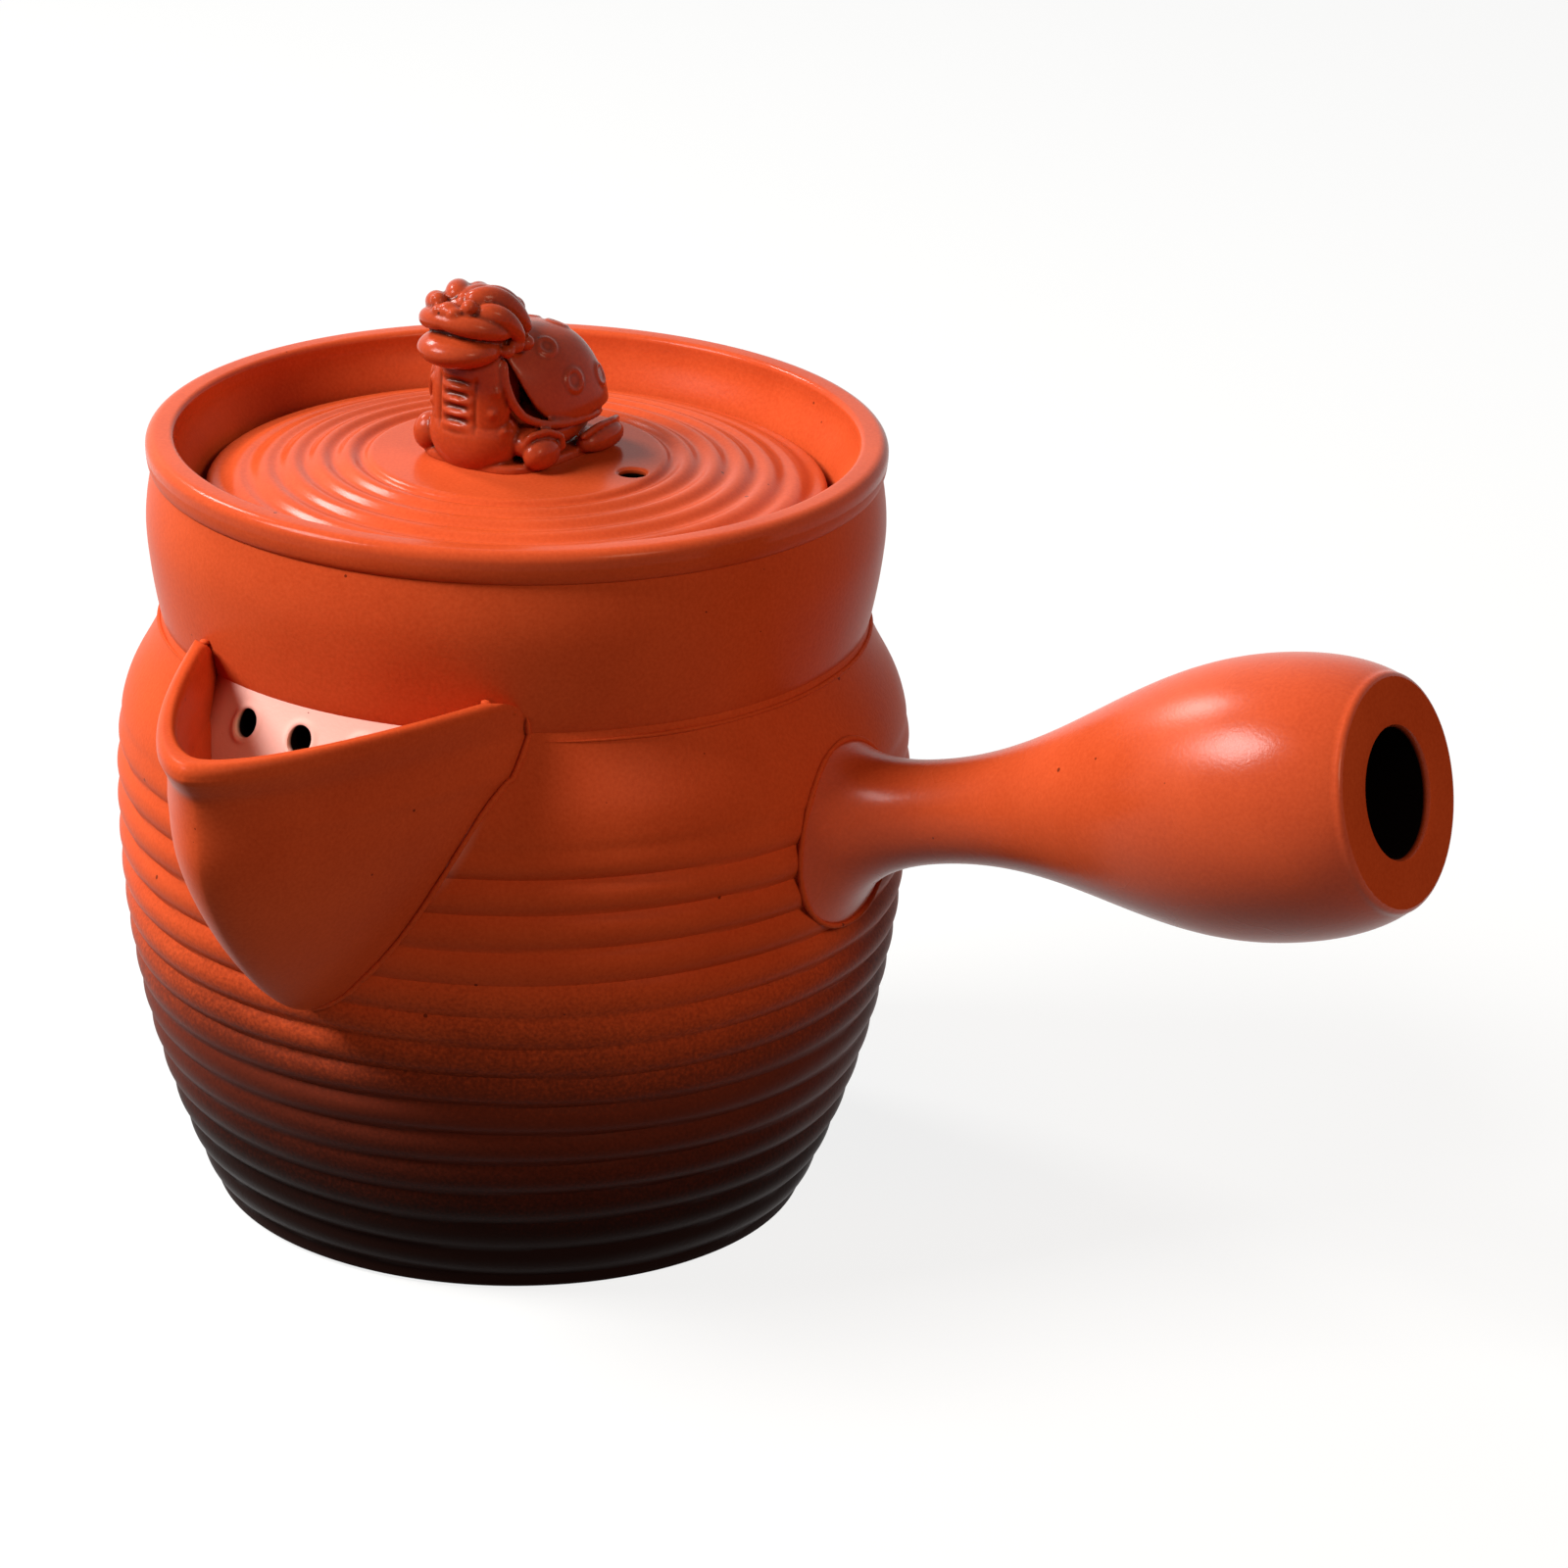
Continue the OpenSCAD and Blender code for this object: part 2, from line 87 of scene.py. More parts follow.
def linear(code):
    """Linear red, green and blue of an sRGB hex value such as C4542C."""
    parts = [int(code[i:i + 2], 16) / 255 for i in (0, 2, 4)]
    return [c / 12.92 if c <= 0.04045 else ((c + 0.055) / 1.055) ** 2.4 for c in parts]


def colour(name, description, code):
    """A colour property, given as an sRGB hex value."""
    return FloatVectorProperty(
        name=name, description=description, default=linear(code), subtype="COLOR", size=3, min=0, max=1
    )


class PotSizes(bpy.types.PropertyGroup):
    """Sizes of the thrown pot, its pierced wall and its collar"""

    belly_r: length("Belly radius", "Outer radius at the belly", high("pot_body", 0))
    belly_z: length("Belly height", "Height of the belly above the table", 0.048)
    foot_r: length("Foot radius", "Outer radius of the foot", 0.0332)
    crease_z: length("Crease height", "Height of the crease under the collar", high("pot_body", 2))
    crease_r: length("Crease radius", "Outer radius at the crease", 0.0388)
    wall: length("Wall", "Thickness of the thrown wall", 0.0034)
    floor_t: length("Floor", "Height of the floor inside", 0.0045)
    foot_ring: length("Foot ring", "Width of the ring that stands on the table", 0.006)
    foot_recess: length("Foot recess", "Height of the recess inside the foot ring", 0.0012)
    ring_pitch: length("Ring pitch", "Spacing of the throwing rings", 0.00385)
    ring_depth: length("Ring depth", "Depth of the grooves between the rings", 0.0007)
    ring_lift: length("Ring lift", "How far the rings are raised from even steps off the table", 0.0018)
    ring_top: length("Ring top", "Height at which the rings fade out", 0.0565)
    ring_fade: length("Ring fade", "Height over which the rings fade out", 0.004)
    hole_r: length("Hole radius", "Radius of each pouring hole", 0.0015)
    hole_z: length("Hole height", "Height of the top row of holes", 0.064)
    hole_row: length("Hole rows", "Height between two rows of holes", 0.0052)
    hole_step: angle("Hole step", "Angle between two holes of a row", 10.8)
    hole_burr: length("Hole burr", "Height of the clay pushed up round each hole", 0.0002)
    collar_r: length("Collar radius", "Outer radius where the collar bulges", high("collar", 0))
    bulge_z: length("Bulge height", "Height of the collar's bulge", 0.0781)
    rim_z: length("Rim height", "Height of the rim", high("collar", 2))
    rim_h: length("Rim", "Height of the rolled rim", 0.0037)
    rim_w: length("Rim width", "Width of the rim across its top", 0.0032)
    rim_round: length("Rim shoulder", "Rounding of the rim's outer shoulder", 0.0012)
    rim_inner: length("Rim inner edge", "Rounding of the rim's inner edge", 0.0007)
    rim_rubbed: length("Rubbed rim", "Height of the band at the rim that is rubbed smooth", 0.0018)
    notch: length("Notch", "Depth of the notch under the rim", 0.0007)
    seat_z: length("Seat height", "Height of the ledge that the lid sits on", low("lid", 2))
    seat_r: length("Seat radius", "Radius of the collar's wall at the seat", 0.0348)
    mouth_r: length("Mouth radius", "Radius of the mouth inside the ledge", 0.03)
    ledge_t: length("Ledge", "Thickness of the ledge", 0.0032)


class SpoutSizes(bpy.types.PropertyGroup):
    """Sizes of the beak spout"""

    turn: angle("Turn", "Angle from the handle round to the spout", -85.5)
    lip_z: length("Lip height", "Height of the pouring lip", high("spout", 2))
    keel_z: length("Keel height", "Height of the keel's lowest point", 0.0354)
    reach: length("Reach", "Reach of the lip beyond the pot's wall", 0.02949)
    lip_stand: length("Lip stand", "Height of the upright lip above the full beak", 0.0018)
    ear_round: length("Ear round", "Rounding of the lip's two ends at the pot", 0.0024)
    half_w: length("Half width", "Half of the width where it meets the pot", 0.02)
    pinch: length("Pinch", "How far its flanks are pinched in below the lip", 0.00175)
    side_wall: length("Side wall", "Thickness of the sides", 0.0026)
    nose_wall: length("Nose wall", "Thickness of the nose", 0.0034)
    lip_round: length("Lip round", "Rounding of the lip's edge", 0.0012)
    trough_rise: length("Trough rise", "Height of the trough's bottom above the keel", 0.0055)


class HandleSizes(bpy.types.PropertyGroup):
    """Sizes of the hollow side handle"""

    height: length("Height", "Height at which the axis leaves the belly", 0.0526)
    tilt: angle("Tilt", "Upward tilt of the axis", 15)
    reach: length("Reach", "Length beyond the belly", 0.06626)
    flare_r: length("Flare radius", "Radius of the foot luted to the pot", 0.0145)
    neck_r: length("Neck radius", "Radius of the slim neck", 0.0056)
    neck_s: length("Neck place", "Distance of the neck from the belly", 0.011)
    grip_r: length("Grip radius", "Radius of the grip where it is fullest", 0.015)
    grip_s: length("Grip place", "Distance of the fullest grip from the belly", 0.053)
    end_r: length("End radius", "Radius of the flat end", 0.0125)
    end_round: length("End round", "Rounding of the end's edge", 0.0008)
    bore_r: length("Bore radius", "Radius of the bore in the end", 0.0068)
    bore_len: length("Bore length", "Straight length of the bore", 0.03)
    tip_r: length("Tip radius", "Radius at the bottom of the hollow", 0.0024)
    hollow_s: length("Hollow place", "Distance of the hollow's bottom from the belly", 0.016)


class LidSizes(bpy.types.PropertyGroup):
    """Sizes of the lid and its flange"""

    lid_r: length("Lid radius", "Outer radius", high("lid", 0))
    seat_z: length("Seat height", "Height of its underside", low("lid", 2))
    edge_t: length("Edge", "Thickness at the edge", 0.003)
    disc_r: length("Disc radius", "Radius of the flat disc under the knob", 0.0155)
    disc_z: length("Disc height", "Height of the flat disc", high("lid", 2))
    thick: length("Thickness", "Thickness under the disc", 0.0038)
    ripple_pitch: length("Ripple pitch", "Spacing of the ripples", 0.00305)
    ripple_depth: length("Ripple depth", "Depth of the grooves at the disc", 0.00065)
    steam_r: length("Steam hole", "Radius of the steam hole", 0.0015)
    steam_at: length("Steam hole place", "Distance of the steam hole from the centre", 0.014)
    steam_turn: angle("Steam hole turn", "Angle from the handle to the steam hole", 6)
    flange_r: length("Flange radius", "Outer radius of the flange", high("lid_flange", 0))
    flange_t: length("Flange", "Thickness of the flange", 0.0028)
    flange_z: length("Flange foot", "Height of the flange's foot", low("lid_flange", 2))


class KnobSizes(bpy.types.PropertyGroup):
    """Sizes of the beast on the lid"""

    turn: angle("Turn", "Direction the beast faces, from the handle", -94)
    shift: length("Shift", "How far it stands to its left of the lid's centre", -0.0016)
    base_z: length("Base height", "Height of the disc it stands on", low("lid_knob", 2))
    voxel: length("Fineness", "Size of the steps that fuse its forms", 0.000185)
    soften: IntProperty(name="Soften", description="Passes that soften its creases", default=4)


class SlipSizes(bpy.types.PropertyGroup):
    """Sizes of the slip squeezed out along the luted joints"""

    bead_r: length("Bead radius", "Radius of a bead of slip", 0.0003)
    proud: length("Proud", "How far a bead's middle stands off the wall", 0.0001)
    below: length("Below the crease", "How far the collar's bead lies below the crease", 0.00085)
    spout_gap: length("Spout gap", "Gap between the collar's bead and the spout", 0.0014)


class ClayColours(bpy.types.PropertyGroup):
    """Colours of the fired clay and of the stage"""

    bright: colour("Bright clay", "Clay at its reddest", "CB5129")
    deep: colour("Deep clay", "Clay at its deepest", "B7421E")
    brown: colour("Brown clay", "Clay that the smoke has reached", "602517")
    smoked: colour("Smoked clay", "Clay at the smoked foot", "1D0C08")
    # Pale colour of a painted highlight, a reflection painted on the wall behind the spout
    painted_highlight: colour("Painted highlight", "Pale highlight painted on the wall behind the spout", "ECB4A6")
    polished: colour("Polished clay", "Clay of the moulded beast", "B04220")
    umber: colour("Umber clay", "Clay of the beast at its deepest", "973419")
    speck: colour("Speck", "Iron specks in the clay", "431509")
    # Dark colour of the shade painted in bores and creases
    painted_shade: colour("Painted shade", "Soot inside the bores and in the beast's creases", "0A0504")
    floor: colour("Floor", "Paint of the floor, which also glows white to the eye", "6E6E6C")


def in_mm(group):
    """A property group's values by name, its lengths in millimetres."""
    found = SimpleNamespace()
    for key, prop in group.bl_rna.properties.items():
        if prop.type in {"FLOAT", "INT"}:
            value = getattr(group, key)
            setattr(found, key, value / MM if prop.unit == "LENGTH" else value)
    return found


def bezier(p, t):
    """Cubic curve: the four control points weighted by the Bernstein terms of t."""
    p = np.asarray(p, float)
    t = np.asarray(t, float)[..., None]
    return (1 - t) ** 3 * p[0] + 3 * t * (1 - t) ** 2 * p[1] + 3 * t * t * (1 - t) * p[2] + t ** 3 * p[3]


def run(p, n, skip=1):
    """n points evenly along a cubic curve, without the first if skip is 1."""
    return bezier(p, np.linspace(0, 1, n + skip)[skip:])


def corner(centre, radius, start, end, n):
    """n points along a rounded corner about a centre, between two angles in degrees."""
    a = np.radians(np.linspace(start, end, n))
    return np.asarray(centre) + radius * np.stack([np.cos(a), np.sin(a)], -1)


def full_turn(n):
    """n even angles round a circle."""
    return np.arange(n) * 2 * np.pi / n


def last_share(holds, like):
    """Largest share from 0 to 1 at which a test still holds, found by halving for each place."""
    sure, open_end = np.zeros_like(like), np.ones_like(like)
    for _ in range(40):
        mid = (sure + open_end) / 2
        held = holds(mid)
        sure, open_end = np.where(held, mid, sure), np.where(held, open_end, mid)
    return sure


def wall_curves(s):
    """Outer wall from foot to bulge: three cubic curves that join end to end."""
    belly, crease = [s.belly_r, s.belly_z], [s.crease_r, s.crease_z]
    return (
        [[s.foot_r, 0], [s.foot_r + 3.5, 7.6], [s.belly_r, s.belly_z - 25.3], belly],
        [belly, [s.belly_r, s.belly_z + 13.4], [s.crease_r + 2.5, s.crease_z - 7.5], crease],
        [crease, [s.crease_r + 0.5, s.crease_z + 1], [s.collar_r, s.bulge_z - 3], [s.collar_r, s.bulge_z]],
    )


def pot_radius(s, z):
    """Smooth outer radius at a height, read off the three wall curves."""
    dense = np.vstack([run(c, 400, 0) for c in wall_curves(s)])
    return np.interp(z, dense[:, 1], dense[:, 0])


# Power that shapes a groove between throwing rings: 1 is a plain sine, more is narrower
RING_POWER = 1.15


def ring_cut(s, z, turn):
    """Throwing rings: round ridges with sharp grooves between, |sin| turned upside down.

    Slow sines make the rings wander by up to half a millimetre in height and change their
    depth by a fifth round the pot, and the rings fade out at the top.
    """
    wander = 0.22 * np.sin(2 * turn + 0.9) + 0.14 * np.sin(5 * turn + z / 6) + 0.2 * np.sin(z / 4.7)
    deep = s.ring_depth * (1 + 0.2 * np.sin(3 * turn + z / 5))
    phase = np.pi * (z + wander - s.ring_lift) / s.ring_pitch
    groove = (1 - np.abs(np.sin(phase))) ** RING_POWER
    return deep * groove * np.clip((s.ring_top - z) / s.ring_fade, 0, 1)


def lathe(radius, height, turns):
    """Surface of revolution: each profile point carried round the Z axis."""
    radius, height, turns = np.broadcast_arrays(radius, height, turns)
    return np.stack([radius * np.cos(turns), radius * np.sin(turns), height], -1)


def turned_by(points, turn):
    """Points turned about the Z axis."""
    c, n = math.cos(turn), math.sin(turn)
    return points @ np.array([[c, n, 0], [-n, c, 0], [0, 0, 1]])


def outward(points):
    """Level direction away from the pot's axis."""
    flat = points * [1, 1, 0]
    return flat / np.linalg.norm(flat, axis=1, keepdims=True)


def sheet(points, wrap=False, keep=None):
    """Points of a grid and its quads; wrap joins the last column to the first."""
    rows, cols = points.shape[:2]
    k = np.arange(rows * cols).reshape(rows, cols)
    k = np.hstack([k, k[:, :1]]) if wrap else k
    quads = np.stack([k[:-1, :-1], k[:-1, 1:], k[1:, 1:], k[1:, :-1]], -1)
    quads = quads[keep] if keep is not None else quads.reshape(-1, 4)
    return points.reshape(-1, 3), quads


def square_border(count):
    """Points along the border of a square from -1 to 1, count on each side."""
    u = np.linspace(-1, 1, count + 1)[:-1]
    one = np.ones(count)
    return np.stack([np.concatenate([u, one, -u, -one]), np.concatenate([-one, u, one, -u])], -1)


def holed_patch(centre, border, radius, rings, crowd):
    """Flat patch from a round hole out to the border round it.

    Rays run from the hole's centre to the points of the border; each ring lies a share of
    the way from the hole's edge to the border, crowded at the edge by a power of the step.
    """
    ray = border - centre
    edge = centre + radius * ray / np.linalg.norm(ray, axis=1, keepdims=True)
    share = np.linspace(0, 1, rings + 1)[:, None, None] ** crowd
    return edge + (border - edge) * share


def bored_wall(front, back):
    """Values from the outer border of the front face down the bore to the border of the back."""
    bore = front[:1] + (back[:1] - front[:1]) * BORE_ROWS[:, None]
    return np.vstack([front[::-1], bore, back])


def bored_plan(values):
    """Values that both faces share, repeated for the rows of the bore between them."""
    return np.vstack([values[::-1], np.repeat(values[:1], len(BORE_ROWS), 0), values])


# Shares of a bore's depth at which its wall has rows, close together at the mouth
BORE_ROWS = np.array([0.06, 0.12, 0.2, 0.5])
# Points closer than this, in metres, are one point
WELD = 2e-6


def merged(name, sheets):
    """Mesh of joined sheets, with doubles merged and faces turned outwards."""
    points, faces, start = [], [], 0
    for p, q in sheets:
        points.append(p)
        faces += (q + start).tolist()
        start += len(p)
    mesh = bpy.data.meshes.new(name)
    mesh.from_pydata((np.vstack(points) * MM).tolist(), [], faces)
    bm = bmesh.new()
    bm.from_mesh(mesh)
    bmesh.ops.remove_doubles(bm, verts=bm.verts, dist=WELD)
    bmesh.ops.recalc_face_normals(bm, faces=bm.faces)
    bm.to_mesh(mesh)
    bm.free()
    if not mesh.polygons:
        raise RuntimeError(f"{name} came out empty")
    return mesh


def read(items, key, width=3, kind=float):
    """One value of every vertex, edge or face of a mesh, as an array with a row for each."""
    values = np.empty(len(items) * width, kind)
    items.foreach_get(key, values)
    return values.reshape(-1, width)


def move_to(mesh, points):
    """Sets a mesh's points, given in millimetres."""
    mesh.vertices.foreach_set("co", (points * MM).ravel())
    mesh.update()


# Attribute of painted shade: how dark each point is painted where shade falls in bores and creases, from 0 to
# 1
PAINTED_SHADE = "painted_shade"


def place(name, mesh, material, body, node, sharp=35, painted_shade_at=None):
    """Puts a mesh in the scene as a piece that stands for a packed node.

    Edges bent by more than sharp degrees stay sharp. The last argument gives the shade painted
    on points in millimetres, dark in bores and creases where shade falls.
    """
    if painted_shade_at:
        painted_shade = mesh.attributes.new(PAINTED_SHADE, "FLOAT", "POINT")
        painted_shade.data.foreach_set("value", np.clip(painted_shade_at(read(mesh.vertices, "co") / MM), 0, 1))
    mesh.shade_smooth()
    mesh.set_sharp_from_angle(angle=math.radians(sharp))
    mesh.materials.append(material)
    piece = bpy.data.objects.new(name, mesh)
    bpy.context.scene.collection.objects.link(piece)
    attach(piece, body)
    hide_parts(node)
    return piece


def second_finish(piece, material, chosen):
    """Gives the chosen faces of a piece another finish."""
    piece.data.materials.append(material)
    piece.data.polygons.foreach_set("material_index", chosen.astype(np.int32))


def node(tree, kind, links, **settings):
    """Adds a node, sets its properties, and links or sets its inputs."""
    made = tree.nodes.new(kind)
    for key, value in settings.items():
        setattr(made, key, value)
    for key, value in links.items():
        if isinstance(value, bpy.types.NodeSocket):
            tree.links.new(value, made.inputs[key])
        else:
            made.inputs[key].default_value = value
    return made


def per_mm(size):
    """Texture scale, in repeats per metre, for a feature of this size in millimetres."""
    return 1 / (size * MM)


def rgba(group, key):
    """A colour property with full cover."""
    return [*getattr(group, key), 1]


# Patterns of the clay in millimetres: soft clouds of tone, grain, spacing of the iron specks,
# and the bands that a turning tool leaves. Real grain is finer than the picture can show, so it
# is drawn as coarse as it needs to show.
CLOUD = 16
GRAIN = 0.4
SPECK_SPACING = 2.6
TOOL_BAND = 13.823
GRAIN_HEIGHT = 0.2
# A wave texture's phase, in radians, for each unit of its scaled vector
WAVE_PHASE = 20
# Share of the tone that follows the grain, and the noise between which the tone changes
GRAIN_SHARE = 0.45
NOISE_LOW, NOISE_HIGH = 0.3, 0.7
# Specks: share of the cells without one, largest radius as a share of a cell, and cover
SPECK_FREE, SPECK_LARGEST, SPECK_COVER = 0.72, 0.1, 0.75
# Change of roughness with the clouds, and the tool bands' share of the relief
ROUGH_CHANGE = 0.05
TOOL_SHARE = 0.25


def fired_clay(name, colours, rough, gloss, grain_bump, tone=("bright", "deep"), smoke=False, highlight_patch=None):
    """Unglazed red clay, thrown, rubbed smooth while damp and fired once.

    The eye sees an even warm red with soft cloudy changes of tone, a fine grain that
    breaks up the light, scattered dark iron specks, and a broad satin gleam.
    """
    material = bpy.data.materials.get(name)
    if material:
        return material
    material = bpy.data.materials.new(name)
    material.use_nodes = True
    tree = material.node_tree
    tree.nodes.clear()
    where = node(tree, "ShaderNodeTexCoord", {}).outputs["Object"]

    cloud = node(tree, "ShaderNodeTexNoise", {"Vector": where, "Scale": per_mm(CLOUD), "Detail": 3.0})
    grain = node(tree, "ShaderNodeTexNoise", {"Vector": where, "Scale": per_mm(GRAIN), "Detail": 2.0})
    tint = node(tree, "ShaderNodeMath", {0: grain.outputs["Fac"], 1: GRAIN_SHARE}, operation="MULTIPLY")
    mixed = node(tree, "ShaderNodeMath", {
        0: cloud.outputs["Fac"], 1: 1 - GRAIN_SHARE, 2: tint.outputs[0]
    }, operation="MULTIPLY_ADD")
    share = node(tree, "ShaderNodeMapRange", {
        "Value": mixed.outputs[0], "From Min": NOISE_LOW, "From Max": NOISE_HIGH
    })
    bright, deep = tone
    paint = node(tree, "ShaderNodeMix", {
        0: share.outputs[0], 6: rgba(colours, deep), 7: rgba(colours, bright)
    }, data_type="RGBA").outputs[2]

    # Painted highlight: a pale round patch painted on the wall behind the spout
    if highlight_patch:
        paint = node(tree, "ShaderNodeMix", {
            0: patch_mask(tree, where, *highlight_patch), 6: paint, 7: rgba(colours, "painted_highlight")
        }, data_type="RGBA").outputs[2]

    cells = node(tree, "ShaderNodeTexVoronoi", {"Vector": where, "Scale": per_mm(SPECK_SPACING)})
    chosen = node(tree, "ShaderNodeSeparateColor", {"Color": cells.outputs["Color"]})
    size = node(tree, "ShaderNodeMapRange", {
        "Value": chosen.outputs[0], "From Min": SPECK_FREE, "To Max": SPECK_LARGEST
    })
    speck = node(tree, "ShaderNodeMath", {
        0: cells.outputs["Distance"], 1: size.outputs[0]
    }, operation="LESS_THAN")
    cover = node(tree, "ShaderNodeMath", {0: speck.outputs[0], 1: SPECK_COVER}, operation="MULTIPLY")
    paint = node(tree, "ShaderNodeMix", {
        0: cover.outputs[0], 6: paint, 7: rgba(colours, "speck")
    }, data_type="RGBA").outputs[2]

    if smoke:
        paint = smoked_foot(tree, where, paint, colours, grain.outputs["Fac"])
    # Painted shade: bores and creases are darkened where shade falls, as the attribute gives
    painted_shade = node(tree, "ShaderNodeAttribute", {}, attribute_name=PAINTED_SHADE)
    paint = node(tree, "ShaderNodeMix", {
        0: painted_shade.outputs["Fac"], 6: paint, 7: rgba(colours, "painted_shade")
    }, data_type="RGBA").outputs[2]

    dull = node(tree, "ShaderNodeMapRange", {
        "Value": cloud.outputs["Fac"], "From Min": NOISE_LOW, "From Max": NOISE_HIGH,
        "To Min": rough - ROUGH_CHANGE, "To Max": rough + ROUGH_CHANGE
    })
    band_scale = 2 * math.pi / WAVE_PHASE * per_mm(TOOL_BAND)
    bands = node(tree, "ShaderNodeTexWave", {
        "Vector": where, "Scale": band_scale, "Distortion": 2.5, "Detail": 2.0
    }, wave_type="BANDS", bands_direction="Z")
    relief = node(tree, "ShaderNodeMath", {
        0: bands.outputs["Fac"], 1: TOOL_SHARE, 2: grain.outputs["Fac"]
    }, operation="MULTIPLY_ADD")
    bump = node(tree, "ShaderNodeBump", {
        "Height": relief.outputs[0], "Strength": grain_bump, "Distance": GRAIN_HEIGHT * MM
    })
    shader = node(tree, "ShaderNodeBsdfPrincipled", {
        "Base Color": paint, "Roughness": dull.outputs[0], "Normal": bump.outputs[0], "IOR": 1.5,
        "Specular IOR Level": gloss,
    })
    node(tree, "ShaderNodeOutputMaterial", {"Surface": shader.outputs[0]})
    return material


def patch_mask(tree, where, centre, radius):
    """1 within a radius of a centre and 0 outside, soft over the last fifth."""
    apart = node(tree, "ShaderNodeVectorMath", {0: where, 1: centre * MM}, operation="DISTANCE")
    return node(tree, "ShaderNodeMapRange", {
        "Value": apart.outputs["Value"], "From Min": radius * MM, "From Max": radius * MM * 0.8
    }, interpolation_type="SMOOTHSTEP").outputs[0]


# Smoke on the foot, in millimetres: height where it starts, height where the clay is darkest, how
# far the two steps overlap, size of its clouds, and how far clouds and grain lift its border
SMOKE_FROM = 41
SMOKE_TO = 8
SMOKE_OVERLAP = 3
SMOKE_CLOUD = 22
SMOKE_DRIFT = 8
SMOKE_SPRAY = 10


def smoked_foot(tree, where, paint, colours, grain):
    """Clay that darkens from the belly to the foot, with a grainy drift like spray.

    The height, lifted by noise, turns the clay brown and then nearly black. Noise is one
    half on average, so half of both lifts is taken off again.
    """
    split = node(tree, "ShaderNodeSeparateXYZ", {"Vector": where})
    drift = node(tree, "ShaderNodeTexNoise", {"Vector": where, "Scale": per_mm(SMOKE_CLOUD), "Detail": 3.0})
    lift = node(tree, "ShaderNodeMath", {
        0: drift.outputs["Fac"], 1: SMOKE_DRIFT * MM, 2: split.outputs["Z"]
    }, operation="MULTIPLY_ADD")
    spray = node(tree, "ShaderNodeMath", {
        0: grain, 1: SMOKE_SPRAY * MM, 2: lift.outputs[0]
    }, operation="MULTIPLY_ADD")
    mean = (SMOKE_DRIFT + SMOKE_SPRAY) / 2
    middle = (SMOKE_FROM + SMOKE_TO) / 2
    for key, start, end in ("brown", SMOKE_FROM, middle), ("smoked", middle + SMOKE_OVERLAP, SMOKE_TO):
        share = node(tree, "ShaderNodeMapRange", {
            "Value": spray.outputs[0], "From Min": (start + mean) * MM, "From Max": (end + mean) * MM
        }, interpolation_type="SMOOTHSTEP")
        paint = node(tree, "ShaderNodeMix", {
            0: share.outputs[0], 6: paint, 7: rgba(colours, key)
        }, data_type="RGBA").outputs[2]
    return paint


def red_clay(context):
    """Clay smoothed with a damp sponge, on collar and spout: even, with hardly any gleam."""
    return fired_clay(
        "Red clay, sponged", context.scene.clay_colours, rough=0.34, gloss=0.025, grain_bump=0.1
    )


def rubbed_clay(context):
    """Clay rubbed with a soft pad, on lid and rim: smooth, so that edges and ripples gleam."""
    return fired_clay("Red clay, rubbed", context.scene.clay_colours, rough=0.2, gloss=0.065, grain_bump=0.04)


def held_clay(context):
    """Clay worn by hands, on the handle: a soft gleam along its upper side."""
    return fired_clay("Red clay, held", context.scene.clay_colours, rough=0.26, gloss=0.14, grain_bump=0.08)


def cut_clay(context):
    """Clay cut with a wire and left so, on the handle's end: matt and a little coarse."""
    return fired_clay("Red clay, cut", context.scene.clay_colours, rough=0.6, gloss=0.0, grain_bump=0.2)


def smoked_clay(context, highlight_patch):
    """Clay of the pot: satin red that the smoke has darkened to the foot, with a pale highlight painted on
    the wall behind the spout.
    """
    return fired_clay(
        "Red clay, smoked at the foot", context.scene.clay_colours, rough=0.38, gloss=0.02, grain_bump=0.14,
        smoke=True, highlight_patch=highlight_patch
    )


def dried_slip(context):
    """Slip squeezed out and left to dry: the red of the clay, matt and rough."""
    return fired_clay(
        "Slip, dried along the joints", context.scene.clay_colours, rough=0.5, gloss=0.02, grain_bump=0.4
    )


def moulded_clay(context):
    """Clay of the beast, pressed in a mould and polished: deeper red with small sharp gleams."""
    return fired_clay(
        "Red clay, moulded and polished", context.scene.clay_colours, rough=0.2, gloss=0.1, grain_bump=0.06,
        tone=("polished", "umber")
    )


# Pouring holes in each row from the top row down, and grid steps across the square round each
HOLE_ROWS = (4, 3, 2)
HOLE_CELL = 12
# Radius of the pale highlight painted on the wall behind the spout, in millimetres
HIGHLIGHT_PATCH_R = 19


